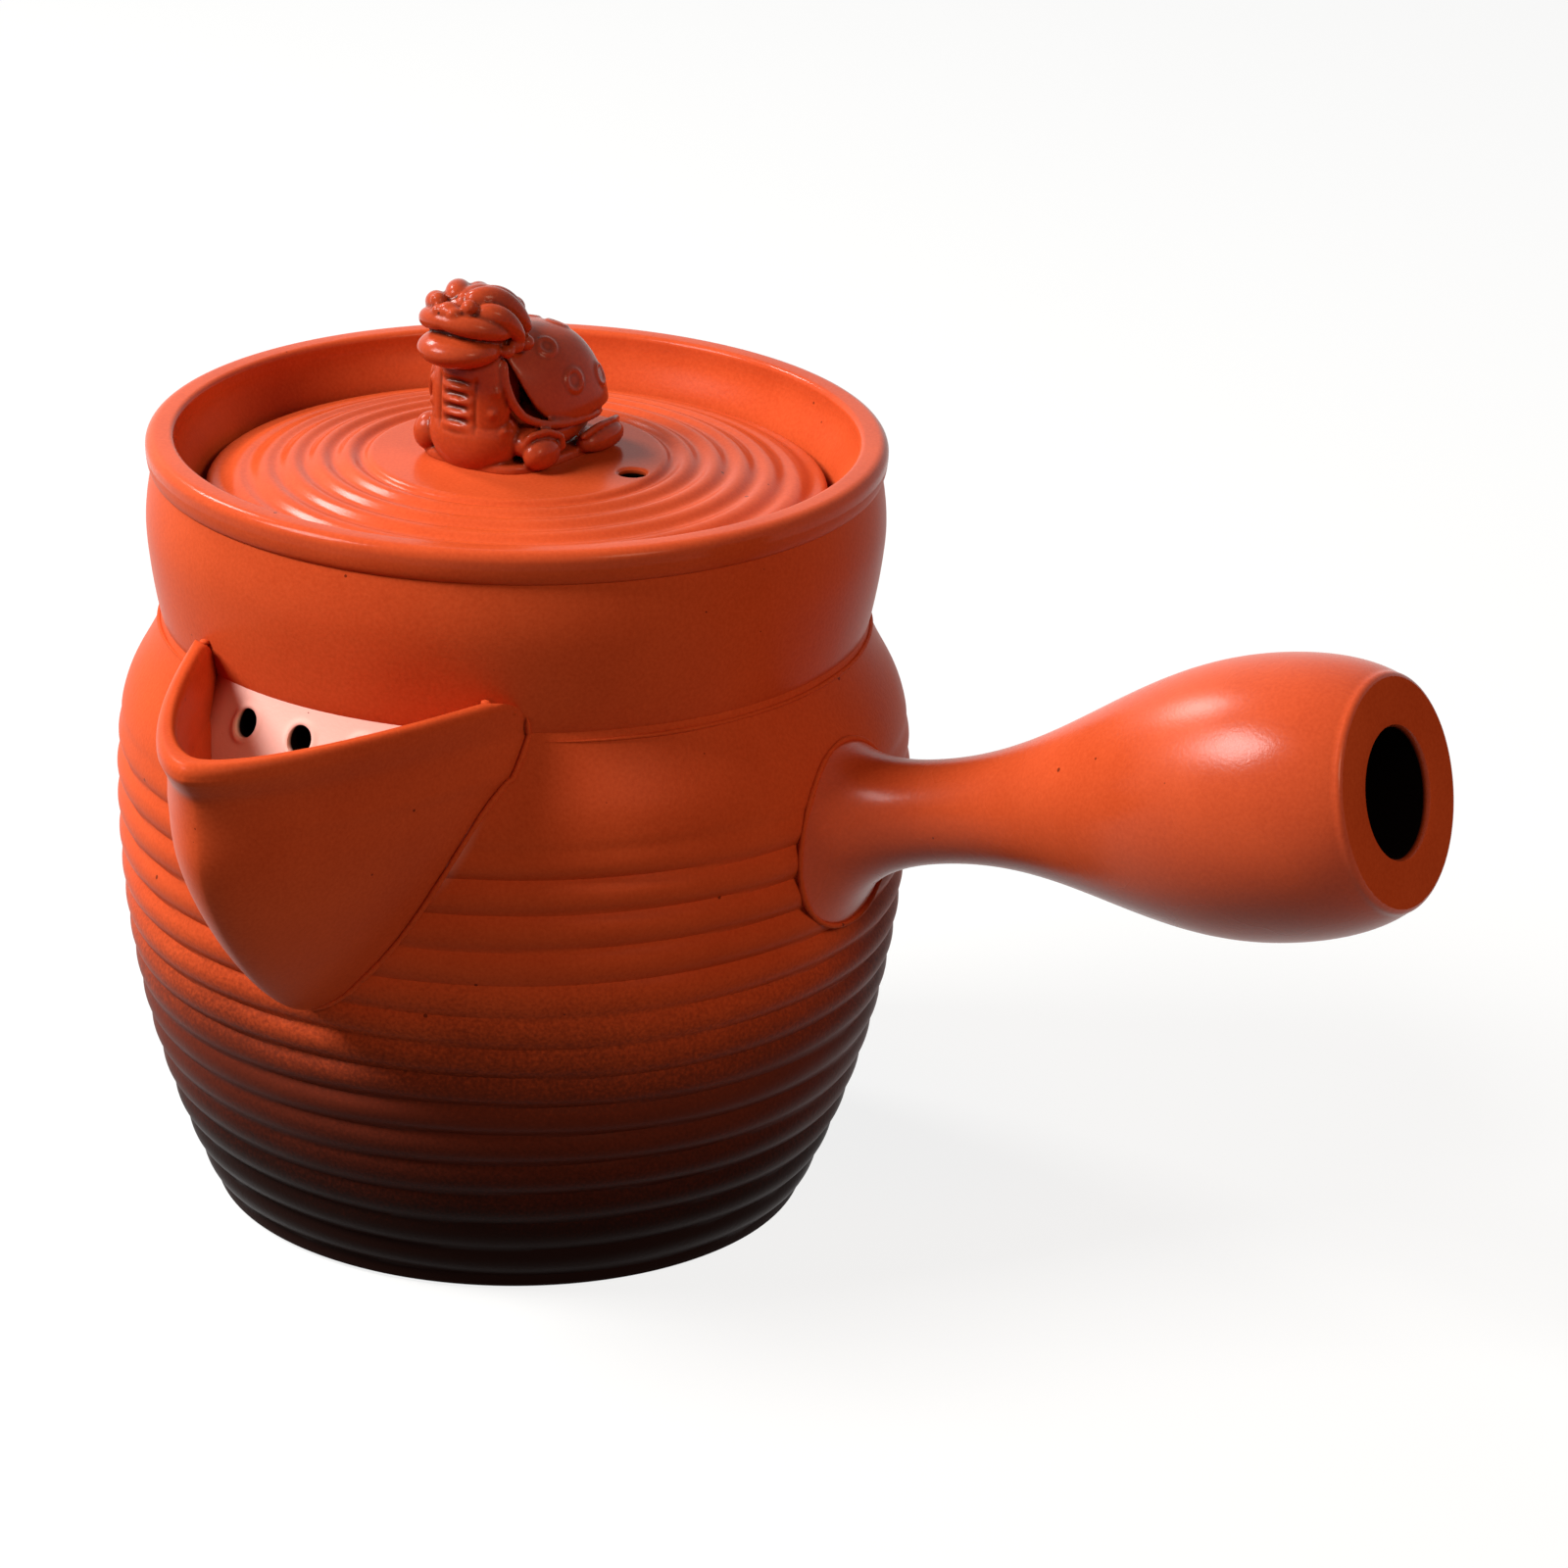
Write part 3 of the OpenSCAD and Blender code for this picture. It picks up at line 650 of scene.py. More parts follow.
class CLAY_OT_pot_body(bpy.types.Operator):
    """Thrown pot with its rings, foot, floor and pierced wall"""

    bl_idname = "teapot.pot_body"
    bl_label = "Pot body"

    def execute(self, context):
        s = in_mm(context.scene.clay_pot)
        turn = context.scene.clay_spout.turn
        holes = [(row, i - (count - 1) / 2) for row, count in enumerate(HOLE_ROWS) for i in range(count)]
        sheets = [self.wall(s, turn, holes)] + [self.hole(s, turn, row, spot) for row, spot in holes]
        # Centre of the highlight painted on the wall behind the spout
        middle = lathe(s.belly_r * 0.96, s.hole_z - 1, turn)

        # Painted shade: the bores of the pouring holes are darkened where shade falls
        def in_holes(p):
            """1 in the bores of the holes, from a fifth of a millimetre under the wall."""
            deep = (pot_radius(s, p[:, 2]) - 0.2 - np.hypot(p[:, 0], p[:, 1])) / 0.25
            bores = np.zeros(len(p), bool)
            for row, spot in holes:
                a = turn + spot * s.hole_step
                aside = p[:, 0] * math.sin(a) - p[:, 1] * math.cos(a)
                off = np.hypot(aside, p[:, 2] - s.hole_z + row * s.hole_row)
                bores |= (off < s.hole_r + 0.04) & (p[:, 0] * math.cos(a) + p[:, 1] * math.sin(a) > 0)
            return deep * bores

        place("pot_body_thrown", merged("pot_body", sheets), smoked_clay(context, (middle, HIGHLIGHT_PATCH_R)), "pot",
              "pot_body", painted_shade_at=in_holes)
        return {"FINISHED"}

    @staticmethod
    def wall(s, turn, holes):
        """Foot, ringed outer wall, inner wall and floor in one profile carried round the axis.

        Behind the spout its grid is fine, and a square of it is left out for each hole.
        """
        across, rows = max(HOLE_ROWS), len(HOLE_ROWS)
        fine = turn + np.linspace(-across / 2, across / 2, across * HOLE_CELL + 1) * s.hole_step
        turns = np.concatenate([fine, np.linspace(fine[-1], fine[0] + 2 * np.pi, 209)[1:-1]])
        zone_top = s.hole_z + s.hole_row / 2
        zone_low = zone_top - rows * s.hole_row
        zone = np.linspace(zone_low, zone_top, rows * HOLE_CELL + 1)

        ring_in = s.foot_r - s.foot_ring
        base = np.array([
            [0, s.foot_recess], [ring_in - 6, s.foot_recess], [ring_in - 0.5, s.foot_recess],
            [ring_in, 0.7], [ring_in + 0.3, 0.1], [ring_in + 0.6, 0],
            [s.foot_r - 1.2, 0], [s.foot_r - 0.7, 0.05], [s.foot_r - 0.2, 0.25],
        ])
        steps_per_ring = 12
        ringed = np.arange(0.5, zone_low - 0.1, s.ring_pitch / steps_per_ring)
        rise = np.concatenate([ringed, zone, [s.crease_z - 0.3, s.crease_z]])
        bend_z = 12
        fall = np.concatenate([[s.crease_z], zone[::-1], np.linspace(zone_low, bend_z, 16)[1:]])
        inner = pot_radius(s, fall) - s.wall
        low_r = inner[-1]
        bend = run([[low_r, bend_z], [low_r - 1.2, 7], [low_r - 5, s.floor_t], [low_r - 9, s.floor_t]], 8)
        floor_r = np.linspace(bend[-1, 0], 0, 6)[1:]

        column = np.ones(len(turns))
        ringed_r = pot_radius(s, rise)[:, None] - ring_cut(s, rise[:, None], turns)
        inside_r = np.concatenate([inner, bend[:, 0], floor_r])[:, None] * column
        radius = np.vstack([base[:, :1] * column, ringed_r, inside_r])
        height = np.concatenate([base[:, 1], rise, fall, bend[:, 1], np.full(len(floor_r), s.floor_t)])

        keep = np.ones((len(radius) - 1, len(turns)), bool)
        first_out = len(base) + np.searchsorted(rise, zone_low - 0.01)
        first_in = len(base) + len(rise) + 1
        for row, spot in holes:
            col = int(round((spot + across / 2 - 0.5) * HOLE_CELL))
            for first in first_out + (rows - 1 - row) * HOLE_CELL, first_in + row * HOLE_CELL:
                keep[first:first + HOLE_CELL, col:col + HOLE_CELL] = False
        return sheet(lathe(radius, height[:, None], turns), wrap=True, keep=keep)

    @staticmethod
    def hole(s, turn, row, spot):
        """One bored hole: a patch on each face of the wall and the bore between them.

        Round the hole the outer patch is raised by a bell curve, as pushed-up clay.
        """
        z = s.hole_z - row * s.hole_row
        ref = pot_radius(s, z)
        centre = np.array([0, z])
        border = centre + square_border(HOLE_CELL) * [s.hole_step / 2 * ref, s.hole_row / 2]
        flat = holed_patch(centre, border, s.hole_r, rings=9, crowd=1.6)
        turns = turn + spot * s.hole_step + flat[..., 0] / ref
        away = np.linalg.norm(flat - centre, axis=-1)
        burr = s.hole_burr * np.exp(-((away - s.hole_r - 0.25) / 0.3) ** 2)
        smooth = pot_radius(s, flat[..., 1])
        radius = bored_wall(smooth - ring_cut(s, flat[..., 1], turns) + burr, smooth - s.wall)
        return sheet(lathe(radius, bored_plan(flat[..., 1]), bored_plan(turns)), wrap=True)


class CLAY_OT_collar(bpy.types.Operator):
    """Collar that bulges over the crease, with its rolled rim and the lid's ledge"""

    bl_idname = "teapot.collar"
    bl_label = "Collar"

    def execute(self, context):
        s = in_mm(context.scene.clay_pot)
        notch = np.array([s.collar_r - s.notch, s.rim_z - s.rim_h])
        side = np.array([s.collar_r, s.rim_z - s.rim_round])
        inside = np.array([s.collar_r - s.rim_w, s.rim_z - s.rim_inner])
        under = [s.mouth_r, s.seat_z - s.ledge_t]
        throat = [s.crease_r - s.wall, s.crease_z]
        profile = np.vstack([
            [throat, [s.crease_r - 0.15, s.crease_z]],
            run(wall_curves(s)[2], 22, 0),
            run([[s.collar_r, s.bulge_z], [s.collar_r, s.bulge_z + 2], notch + [0.4, -2], notch], 14),
            run([notch, notch + [0.4, 0], side - [0, (s.rim_h - s.rim_round) / 2], side], 10),
            corner(side - [s.rim_round, 0], s.rim_round, 0, 90, 12),
            corner(inside + [s.rim_inner, 0], s.rim_inner, 90, 180, 10),
            run([inside, inside - [0, 3], [s.seat_r, s.seat_z + 4], [s.seat_r, s.seat_z + 0.5]], 16),
            [[s.seat_r - 0.15, s.seat_z + 0.12], [s.seat_r - 0.5, s.seat_z], [s.mouth_r + 0.6, s.seat_z]],
            [[s.mouth_r + 0.15, s.seat_z - 0.15], [s.mouth_r, s.seat_z - 0.6], under],
            run([under, [s.mouth_r + 2, s.seat_z - s.ledge_t - 1], [throat[0], s.crease_z + 4], throat], 12),
        ])
        mesh = merged("collar", [sheet(lathe(profile[:, :1], profile[:, 1:], full_turn(240)), wrap=True)])
        piece = place("collar_turned", mesh, red_clay(context), "pot", "collar")
        rim = read(mesh.polygons, "center")[:, 2] > (s.rim_z - s.rim_rubbed) * MM
        second_finish(piece, rubbed_clay(context), rim)
        return {"FINISHED"}


# Spout: powers of the rise that give its width and its reach, and the power that rounds its nose
WIDTH_POWER, REACH_POWER, NOSE_POWER = 0.75, 0.62, 1.667
# Pinch of its flanks: shares of the rise by which it has begun and ended, its power and its root
PINCH_BEGUN, PINCH_ENDED, PINCH_POWER, PINCH_ROOT = 0.12, 0.8, 1.3, 0.6
# How far its root is sunk into the pot's wall, in millimetres
SPOUT_SINK = 0.45


def spout_share(p, z):
    """Share of the way from the keel to the level where the beak is full."""
    return np.clip((z - p.keel_z) / (p.lip_z - p.lip_stand - p.keel_z), 0, 1)


def spout_half(p, z):
    """Half width of the spout at a height: a quarter sine of a power of the rise.

    The flanks are pinched in below the lip by half a sine of another power, to a root.
    """
    rise = spout_share(p, z)
    pinched = np.sin(np.pi * np.clip(rise / PINCH_ENDED, 0, 1) ** PINCH_POWER) ** PINCH_ROOT
    begun = np.clip(rise / PINCH_BEGUN, 0, 1)
    return p.half_w * np.sin(np.pi / 2 * rise ** WIDTH_POWER) - p.pinch * pinched * begun


def spout_nose(p, s, z):
    """Distance of the nose from the pot's axis: a power of the rise beyond the wall."""
    wall = pot_radius(s, np.minimum(z, p.lip_z - p.lip_stand))
    return wall + p.reach * spout_share(p, z) ** REACH_POWER


def spout_points(p, s, z, across, half, nose):
    """Points of level slices: a nose rounded as 1 - |across| to a power, rooted in the pot.

    Near the top each slice ends short of the wall, so that the lip's ends are rounded
    as seen from the side.
    """
    root = np.sqrt(pot_radius(s, z) ** 2 - half ** 2) - SPOUT_SINK

    def forward(share):
        """Distance of a slice's point ahead of the pot's axis."""
        return root + (nose - root) * (1 - np.abs(share) ** NOSE_POWER)

    rise = np.clip((z - p.lip_z) / p.ear_round + 1, 0, 1)
    end = pot_radius(s, z) + p.ear_round * (1 - np.sqrt(1 - rise ** 2))
    ear = last_share(lambda share: np.hypot(forward(share), half * share) > end, z)
    across = across * np.where(rise > 0, ear, 1)
    return np.stack(np.broadcast_arrays(forward(across), half * across, z), -1)


class CLAY_OT_spout(bpy.types.Operator):
    """Beak spout, open on top, luted to the wall in front of the pierced holes"""

    bl_idname = "teapot.spout"
    bl_label = "Spout"

    def execute(self, context):
        s = in_mm(context.scene.clay_pot)
        p = in_mm(context.scene.clay_spout)
        across = np.linspace(-1, 1, 97)
        across = np.sign(across) * np.abs(across) ** 1.3
        bottom = p.keel_z + p.trough_rise
        full = p.lip_z - p.lip_stand
        below = p.keel_z + 0.02 + (bottom - p.keel_z) * np.linspace(0, 1, 22)[:-1] ** 1.8
        above = np.concatenate([
            np.linspace(bottom, full, 48), [full + 0.2, full + 0.4, p.lip_z - p.lip_round]
        ])
        edge = np.radians(np.linspace(0, 90, 11))[1:]
        z = np.concatenate([below, above, p.lip_z - p.lip_round * (1 - np.sin(edge))])[:, None]
        inset = np.concatenate([np.zeros(len(below) + len(above)), p.lip_round * (1 - np.cos(edge))])[:, None]
        outer = spout_points(p, s, z, across, spout_half(p, z) - inset, spout_nose(p, s, z) - inset)

        count = len(below)
        inner = self.trough(p, s, z[count:], bottom, inset[count:], across)
        solid = outer[:count + 1]
        back = np.stack(np.broadcast_arrays(solid[:, :1, 0], solid[..., 1], z[:count + 1]), -1)
        sheets = [
            sheet(outer), sheet(inner),
            sheet(np.stack([outer[-1], inner[-1]])),
            sheet(np.stack([outer[count:, 0], inner[:, 0]])),
            sheet(np.stack([outer[count:, -1], inner[:, -1]])),
            sheet(back), sheet(np.stack([back[-1], inner[0]])),
            sheet(np.stack([outer[0], back[0]])),
        ]
        mesh = merged("spout", [(turned_by(v, p.turn), q) for v, q in sheets])
        place("spout_beak", mesh, red_clay(context), "pot", "spout", sharp=60)
        return {"FINISHED"}

    @staticmethod
    def trough(p, s, z, bottom, inset, across):
        """Inside of the beak: slices a wall narrower, that draw back to the pot at the bottom.

        The nose draws back as the root of 1 minus the sixth power of the drop from the lip.
        """
        half = np.maximum(spout_half(p, z) - p.side_wall + inset, 0.3)
        drop = (p.lip_z - z) / (p.lip_z - bottom)
        root = np.sqrt(pot_radius(s, z) ** 2 - half ** 2)
        deep = spout_nose(p, s, z) - p.nose_wall + inset
        nose = root + (deep - root) * np.sqrt(np.clip(1 - drop ** 6, 0, 1))
        return spout_points(p, s, z, across, half, nose)


def handle_axis(h):
    """Direction of the handle's tilted axis."""
    return np.array([math.cos(h.tilt), 0, math.sin(h.tilt)])


def on_handle(h, s, radius, along, around):
    """Points about the tilted handle axis, by radius, distance along it and angle round it."""
    rise = np.array([-math.sin(h.tilt), 0, math.cos(h.tilt)])
    side = np.array([0, 1, 0])
    radius, along, around = (np.asarray(a)[..., None] for a in np.broadcast_arrays(radius, along, around))
    ring = radius * (np.cos(around) * rise + np.sin(around) * side)
    return [s.belly_r, 0, h.height] + along * handle_axis(h) + ring


def flare_curve(h, grow=0.0):
    """Half outline of the handle's foot, from inside the pot out to the neck."""
    neck_r = h.neck_r + grow
    return [[h.flare_r + grow, -5], [neck_r + 2.9, -2], [neck_r, h.neck_s - 9], [neck_r, h.neck_s]]


def flare_start(h, s, around, depth, grow=0.0):
    """Share along the foot's curve at which it lies depth inside the pot's wall."""
    def inside(share):
        """Whether the curve's point still lies that deep."""
        at = bezier(flare_curve(h, grow), share)
        point = on_handle(h, s, at[..., 0], at[..., 1], around)
        return np.hypot(point[..., 0], point[..., 1]) < pot_radius(s, point[..., 2]) - depth

    return last_share(inside, around)


# The handle's foot ends this far under the pot's skin and is then rooted straight into the wall,
# and its hidden end is closed at this distance along the axis, both in millimetres
FOOT_TUCK = 0.05
FOOT_END = -1.8
# Least part of a face's normal along the axis at which it belongs to the cut end
CUT_FACING = 0.97


class CLAY_OT_handle(bpy.types.Operator):
    """Hollow side handle, turned about its tilted axis and luted to the belly"""

    bl_idname = "teapot.handle"
    bl_label = "Handle"

    def execute(self, context):
        s = in_mm(context.scene.clay_pot)
        h = in_mm(context.scene.clay_handle)
        around = full_turn(144)
        start = flare_start(h, s, around, FOOT_TUCK)
        foot = bezier(flare_curve(h), start + (1 - start) * np.linspace(0, 1, 34)[:, None])
        profile = self.profile(h)
        one, row = np.ones(len(around)), np.ones((1, len(around)))
        radius = np.vstack([0 * row, foot[..., 0], profile[:, :1] * one])
        along = np.vstack([FOOT_END * row, foot[..., 1], profile[:, 1:] * one])
        points = on_handle(h, s, radius, along, around)
        rooted = points[1] - outward(points[1]) * 2 * s.ring_depth
        mesh = merged("handle", [sheet(np.concatenate([points[:1], rooted[None], points[1:]]), wrap=True)])
        axis = handle_axis(h)

        # Painted shade: the handle's hollow is darkened where shade falls
        def in_bore(p):
            """1 in the hollow, from just inside the mouth."""
            out = p - [s.belly_r, 0, h.height]
            along = out @ axis
            off = np.linalg.norm(out - along[:, None] * axis, axis=1)
            places = [h.hollow_s, h.hollow_s + 10, h.reach - h.bore_len]
            hollow = np.interp(along, places, [h.tip_r, h.tip_r, h.bore_r])
            return (h.reach - 0.3 - along) / 0.6 * (off < hollow + 0.2) * (along > h.hollow_s - 2)

        piece = place("handle_turned", mesh, held_clay(context), "pot", "handle", painted_shade_at=in_bore)
        second_finish(piece, cut_clay(context), read(mesh.polygons, "normal") @ axis > CUT_FACING)
        return {"FINISHED"}

    @staticmethod
    def profile(h):
        """Half outline from the neck over the grip and the cut end into the bore, down to its tip."""
        neck, grip = [h.neck_r, h.neck_s], [h.grip_r, h.grip_s]
        edge = h.reach - h.end_round
        mouth = [h.bore_r, h.reach]
        bore_end, tip = [h.bore_r, h.reach - h.bore_len], [h.tip_r, h.hollow_s]
        return np.vstack([
            run([neck, [h.neck_r, h.neck_s + 17], [h.grip_r, h.grip_s - 16], grip], 48),
            run([grip, [h.grip_r, h.grip_s + 5], [h.end_r + 1.75, edge - 3], [h.end_r, edge]], 24),
            corner([h.end_r - h.end_round, edge], h.end_round, 15, 90, 6),
            np.add(mouth, [[1.5, 0], [0.6, 0], [0.2, -0.1], [0, -0.45], [0, -0.9], [0, -1.8], [0, -8]]),
            [bore_end],
            run([bore_end, np.subtract(bore_end, [0, 5]), [h.tip_r, h.hollow_s + 10], tip], 12),
            [[h.tip_r * 0.6, h.hollow_s - 0.8], [0, h.hollow_s - 1.1]],
        ])


def tube(path, out, radius, sides=12):
    """Round bead along a path: a circle in the plane of the outward direction and the side."""
    along = np.gradient(path, axis=0)
    along /= np.linalg.norm(along, axis=1, keepdims=True)
    side = np.cross(along, out)
    side /= np.linalg.norm(side, axis=1, keepdims=True)
    up = np.cross(side, along)
    around = full_turn(sides)[:, None]
    ring = np.cos(around) * side[:, None] + np.sin(around) * up[:, None]
    return path[:, None] + ring * np.reshape(radius, (-1, 1, 1))


def uneven(t, seed, size):
    """Gentle unevenness along a hand-laid bead: three sines of unlike pace."""
    waves = np.sin(23 * t + seed) + 0.7 * np.sin(61 * t + 2.1 * seed) + 0.5 * np.sin(137 * t + seed)
    return 1 + size * waves


# Torn crumbs of slip on the lip's ends: degrees from the spout, distance from the axis, height and size
CRUMBS = (
    (24.6, 40.1, 71.0, 0.42), (26.8, 40.0, 70.5, 0.34), (28.5, 39.9, 69.95, 0.45), (-26.7, 40.1, 71.0, 0.42)
)
CRUMB_SHAPE = np.array([1.3, 1, 0.8])
# Edges of slip and crumbs stay smooth up to this bend, in degrees
SLIP_SHARP = 80


class CLAY_OT_slips(bpy.types.Operator):
    """Beads of slip along the joints of collar, spout and handle"""

    bl_idname = "teapot.slips"
    bl_label = "Luting slip"

    def execute(self, context):
        s = in_mm(context.scene.clay_pot)
        p = in_mm(context.scene.clay_spout)
        h = in_mm(context.scene.clay_handle)
        b = in_mm(context.scene.clay_slip)
        laid = {
            "collar_slip": self.collar_bead(s, p, b),
            "spout_slip": self.spout_bead(s, p, b),
            "handle_slip": self.handle_bead(s, h, b),
        }
        for name, sheets in laid.items():
            mesh = merged(name, sheets)
            place(f"{name}_bead", mesh, dried_slip(context), "pot", name, sharp=SLIP_SHARP)
        return {"FINISHED"}

    @staticmethod
    def collar_bead(s, p, b):
        """Bead just under the collar that tapers off on either side of the spout."""
        count, tapered = 400, 24
        stop = math.asin((p.half_w + b.spout_gap) / s.crease_r)
        turns = p.turn + np.linspace(stop, 2 * np.pi - stop, count)
        z = s.crease_z - b.below + 0.06 * np.sin(3 * turns)
        path = lathe(pot_radius(s, z) + b.proud / 2, z, turns)
        from_end = np.minimum(np.arange(count), np.arange(count)[::-1])
        taper = np.clip(from_end / tapered, 0, 1) ** 0.7
        size = b.bead_r * 0.85 * uneven(turns / 6, 0.4, 0.08) * taper
        return [sheet(tube(path, outward(path), size), wrap=True)]

    @staticmethod
    def spout_bead(s, p, b):
        """Bead up one side of the spout, round the keel and up the other, with torn ends."""
        t = np.linspace(-1, 1, 321)
        z = p.keel_z + (p.lip_z - p.ear_round + 0.2 - p.keel_z) * np.abs(t) ** 1.5
        half = spout_half(p, z) * np.sign(t)
        root = np.sqrt(pot_radius(s, z) ** 2 - half ** 2)
        path = turned_by(np.stack([root, half * 1.01, z], -1), p.turn)
        path += outward(path) * b.proud
        size = b.bead_r * uneven(t, 1.3, 0.1) * np.clip((1 - np.abs(t)) / 0.02, 0.05, 1)
        crumbs = [
            egg(turned_by(lathe(radius, height, math.radians(turn)), p.turn), CRUMB_SHAPE * crumb)
            for turn, radius, height, crumb in CRUMBS
        ]
        return [sheet(tube(path, outward(path), size), wrap=True)] + crumbs

    @staticmethod
    def handle_bead(s, h, b):
        """Bead all round the handle's foot, its size changed by two sines of the turn."""
        grow = 0.1
        around = full_turn(240)
        at = bezier(flare_curve(h, grow), flare_start(h, s, around, 0, grow))
        path = on_handle(h, s, at[:, 0], at[:, 1], around)
        path += outward(path) * b.proud
        ring = np.vstack([path, path[:1]])
        turns = np.append(around, 2 * np.pi)
        size = b.bead_r * (1 + 0.12 * np.sin(5 * turns) + 0.1 * np.sin(11 * turns + 1))
        beads = tube(ring, outward(ring), size)
        beads[-1] = beads[0]
        return [sheet(beads, wrap=True)]


# Ripples of the lid: how much shallower they are at its edge, and the power that narrows a groove
RIPPLE_FADE = 0.6
RIPPLE_POWER = 1.2


def lid_top(d, r):
    """Lid's upper height: a low dome with cosine ripples that grow shallow to the edge."""
    share = np.clip((r - d.disc_r) / (d.lid_r - d.disc_r), 0, 1)
    phase = (r - d.disc_r) / d.ripple_pitch
    last = math.floor((d.lid_r - d.disc_r) / d.ripple_pitch)
    groove = (0.5 + 0.5 * np.cos(2 * np.pi * (phase - 0.5))) ** RIPPLE_POWER
    begin = np.clip((phase - 0.15) / 0.25, 0, 1) * np.clip((last + 0.15 - phase) / 0.2, 0, 1)
    dome = d.disc_z - (d.disc_z - d.seat_z - d.edge_t) * share ** 2
    return dome - d.ripple_depth * (1 - RIPPLE_FADE * share) * groove * begin


def lid_under(d, r):
    """Lid's lower height: flat under the disc, then sloping to the seat."""
    inner = d.flange_r - d.flange_t
    return np.interp(r, [d.disc_r, inner], [d.disc_z - d.thick, d.seat_z])


def steam_centre(d):
    """Place of the steam hole in plan."""
    return d.steam_at * np.array([math.cos(d.steam_turn), math.sin(d.steam_turn)])


# Grid steps across the square round the steam hole, and half of its side in millimetres
STEAM_CELL = 14
STEAM_HALF = 2.3


class CLAY_OT_lid(bpy.types.Operator):
    """Rippled lid with its steam hole, and the flange under it"""

    bl_idname = "teapot.lid"
    bl_label = "Lid"

    def execute(self, context):
        d = in_mm(context.scene.clay_lid)
        clay = rubbed_clay(context)

        # Painted shade: the steam hole's bore is darkened where shade falls
        def in_hole(p):
            """1 in the steam hole, from just under the disc."""
            off = np.linalg.norm(p[:, :2] - steam_centre(d), axis=1)
            return (d.disc_z - 0.4 - p[:, 2]) / 0.25 * (off < d.steam_r + 0.05)

        mesh = merged("lid", [self.disc(d), self.steam_hole(d)])
        place("lid_turned", mesh, clay, "lid", "lid", painted_shade_at=in_hole)
        self.flange(d, clay)
        return {"FINISHED"}

    @staticmethod
    def disc(d):
        """Upper face, edge and lower face in one profile carried round, with a gap for the hole."""
        step = 2 * STEAM_HALF / d.steam_at / STEAM_CELL
        fine = d.steam_turn + (np.arange(STEAM_CELL + 1) - STEAM_CELL / 2) * step
        turns = np.concatenate([fine, np.linspace(fine[-1], fine[0] + 2 * np.pi, 233)[1:-1]])
        zone = d.steam_at + np.linspace(-STEAM_HALF, STEAM_HALF, STEAM_CELL + 1)
        within = np.linspace(0, zone[0], 7)[:-1]
        ripple_step, edge_round = 0.2, 0.8
        rippled = np.arange(zone[-1] + ripple_step, d.lid_r - edge_round, ripple_step)
        top_r = np.concatenate([within, zone, rippled])
        top_z = lid_top(d, top_r)
        edge_r, edge_z = top_r[-1], top_z[-1]
        edge = np.vstack([
            run([
                [edge_r, edge_z], [d.lid_r - 0.1, edge_z - 0.02],
                [d.lid_r, edge_z - 0.4], [d.lid_r, edge_z - 1],
            ], 8),
            np.add([d.lid_r, d.seat_z], [[0, 0.5], [-0.15, 0.15], [-0.5, 0]]),
        ])
        slope = [d.flange_r - d.flange_t, zone[-1] + 3]
        low_r = np.concatenate([slope, zone[::-1], np.linspace(zone[0], 0, 5)[1:]])
        radius = np.concatenate([top_r, edge[:, 0], low_r])
        height = np.concatenate([top_z, edge[:, 1], lid_under(d, low_r)])
        keep = np.ones((len(radius) - 1, len(turns)), bool)
        for first in len(within), len(top_r) + len(edge) + len(slope):
            keep[first:first + STEAM_CELL, :STEAM_CELL] = False
        return sheet(lathe(radius[:, None], height[:, None], turns), wrap=True, keep=keep)

    @staticmethod
    def steam_hole(d):
        """Bored hole: patches on both faces of the lid, in plan, and the bore between.

        The upper face is eased down at the hole's edge by a bell curve.
        """
        cell = [d.steam_at, d.steam_turn] + square_border(STEAM_CELL) * [STEAM_HALF, STEAM_HALF / d.steam_at]
        border = lathe(cell[:, 0], 0, cell[:, 1])[:, :2]
        plan = holed_patch(steam_centre(d), border, d.steam_r, rings=8, crowd=1.5)
        out = np.linalg.norm(plan, axis=-1)
        away = np.linalg.norm(plan - steam_centre(d), axis=-1)
        top = lid_top(d, out) - 0.25 * np.exp(-((away - d.steam_r) / 0.18) ** 2)
        z = bored_wall(top, lid_under(d, out))
        return sheet(np.dstack([bored_plan(plan), z[..., None]]), wrap=True)

    @staticmethod
    def flange(d, clay):
        """Ring below the lid that keeps it centred in the mouth, with a foot rounded as half an oval."""
        inner = d.flange_r - d.flange_t
        oval = np.array([1, 0.6]) * d.flange_t / 2
        foot = [inner, d.flange_z] + oval + corner([0, 0], 1, 180, 360, 15) * oval
        closed = np.vstack([[[inner, d.seat_z]], foot, [[d.flange_r, d.seat_z], [inner, d.seat_z]]])
        mesh = merged("lid_flange", [sheet(lathe(closed[:, :1], closed[:, 1:], full_turn(180)), wrap=True)])
        place("lid_flange_turned", mesh, clay, "lid", "lid_flange")


# Nearly upright direction that squares the rings of a lobe or rope, off the way of all their paths
UPRIGHT = [0.02, 0.03, 1.0]


def egg(centre, radii):
    """Closed egg: a sphere of two angles stretched along three axes."""
    a = np.linspace(0, np.pi, 33)[:, None]
    b = full_turn(48)
    ball = np.stack(np.broadcast_arrays(np.sin(a) * np.cos(b), np.sin(a) * np.sin(b), np.cos(a)), -1)
    return sheet(ball * radii + centre, wrap=True)


def lobe(start, bend, end, r_start, r_end):
    """Closed lobe: a circle carried along a bent path, swelling from one round end to the other."""
    a = np.linspace(0, np.pi, 41)
    t = (1 - np.cos(a))[:, None] / 2
    p = np.array([start, bend, end], float)
    path = (1 - t) ** 2 * p[0] + 2 * t * (1 - t) * p[1] + t ** 2 * p[2]
    radius = (r_start + (r_end - r_start) * t[:, 0]) * np.sin(a) ** 0.6
    return sheet(tube(path, np.tile(UPRIGHT, (len(a), 1)), radius, 28), wrap=True)


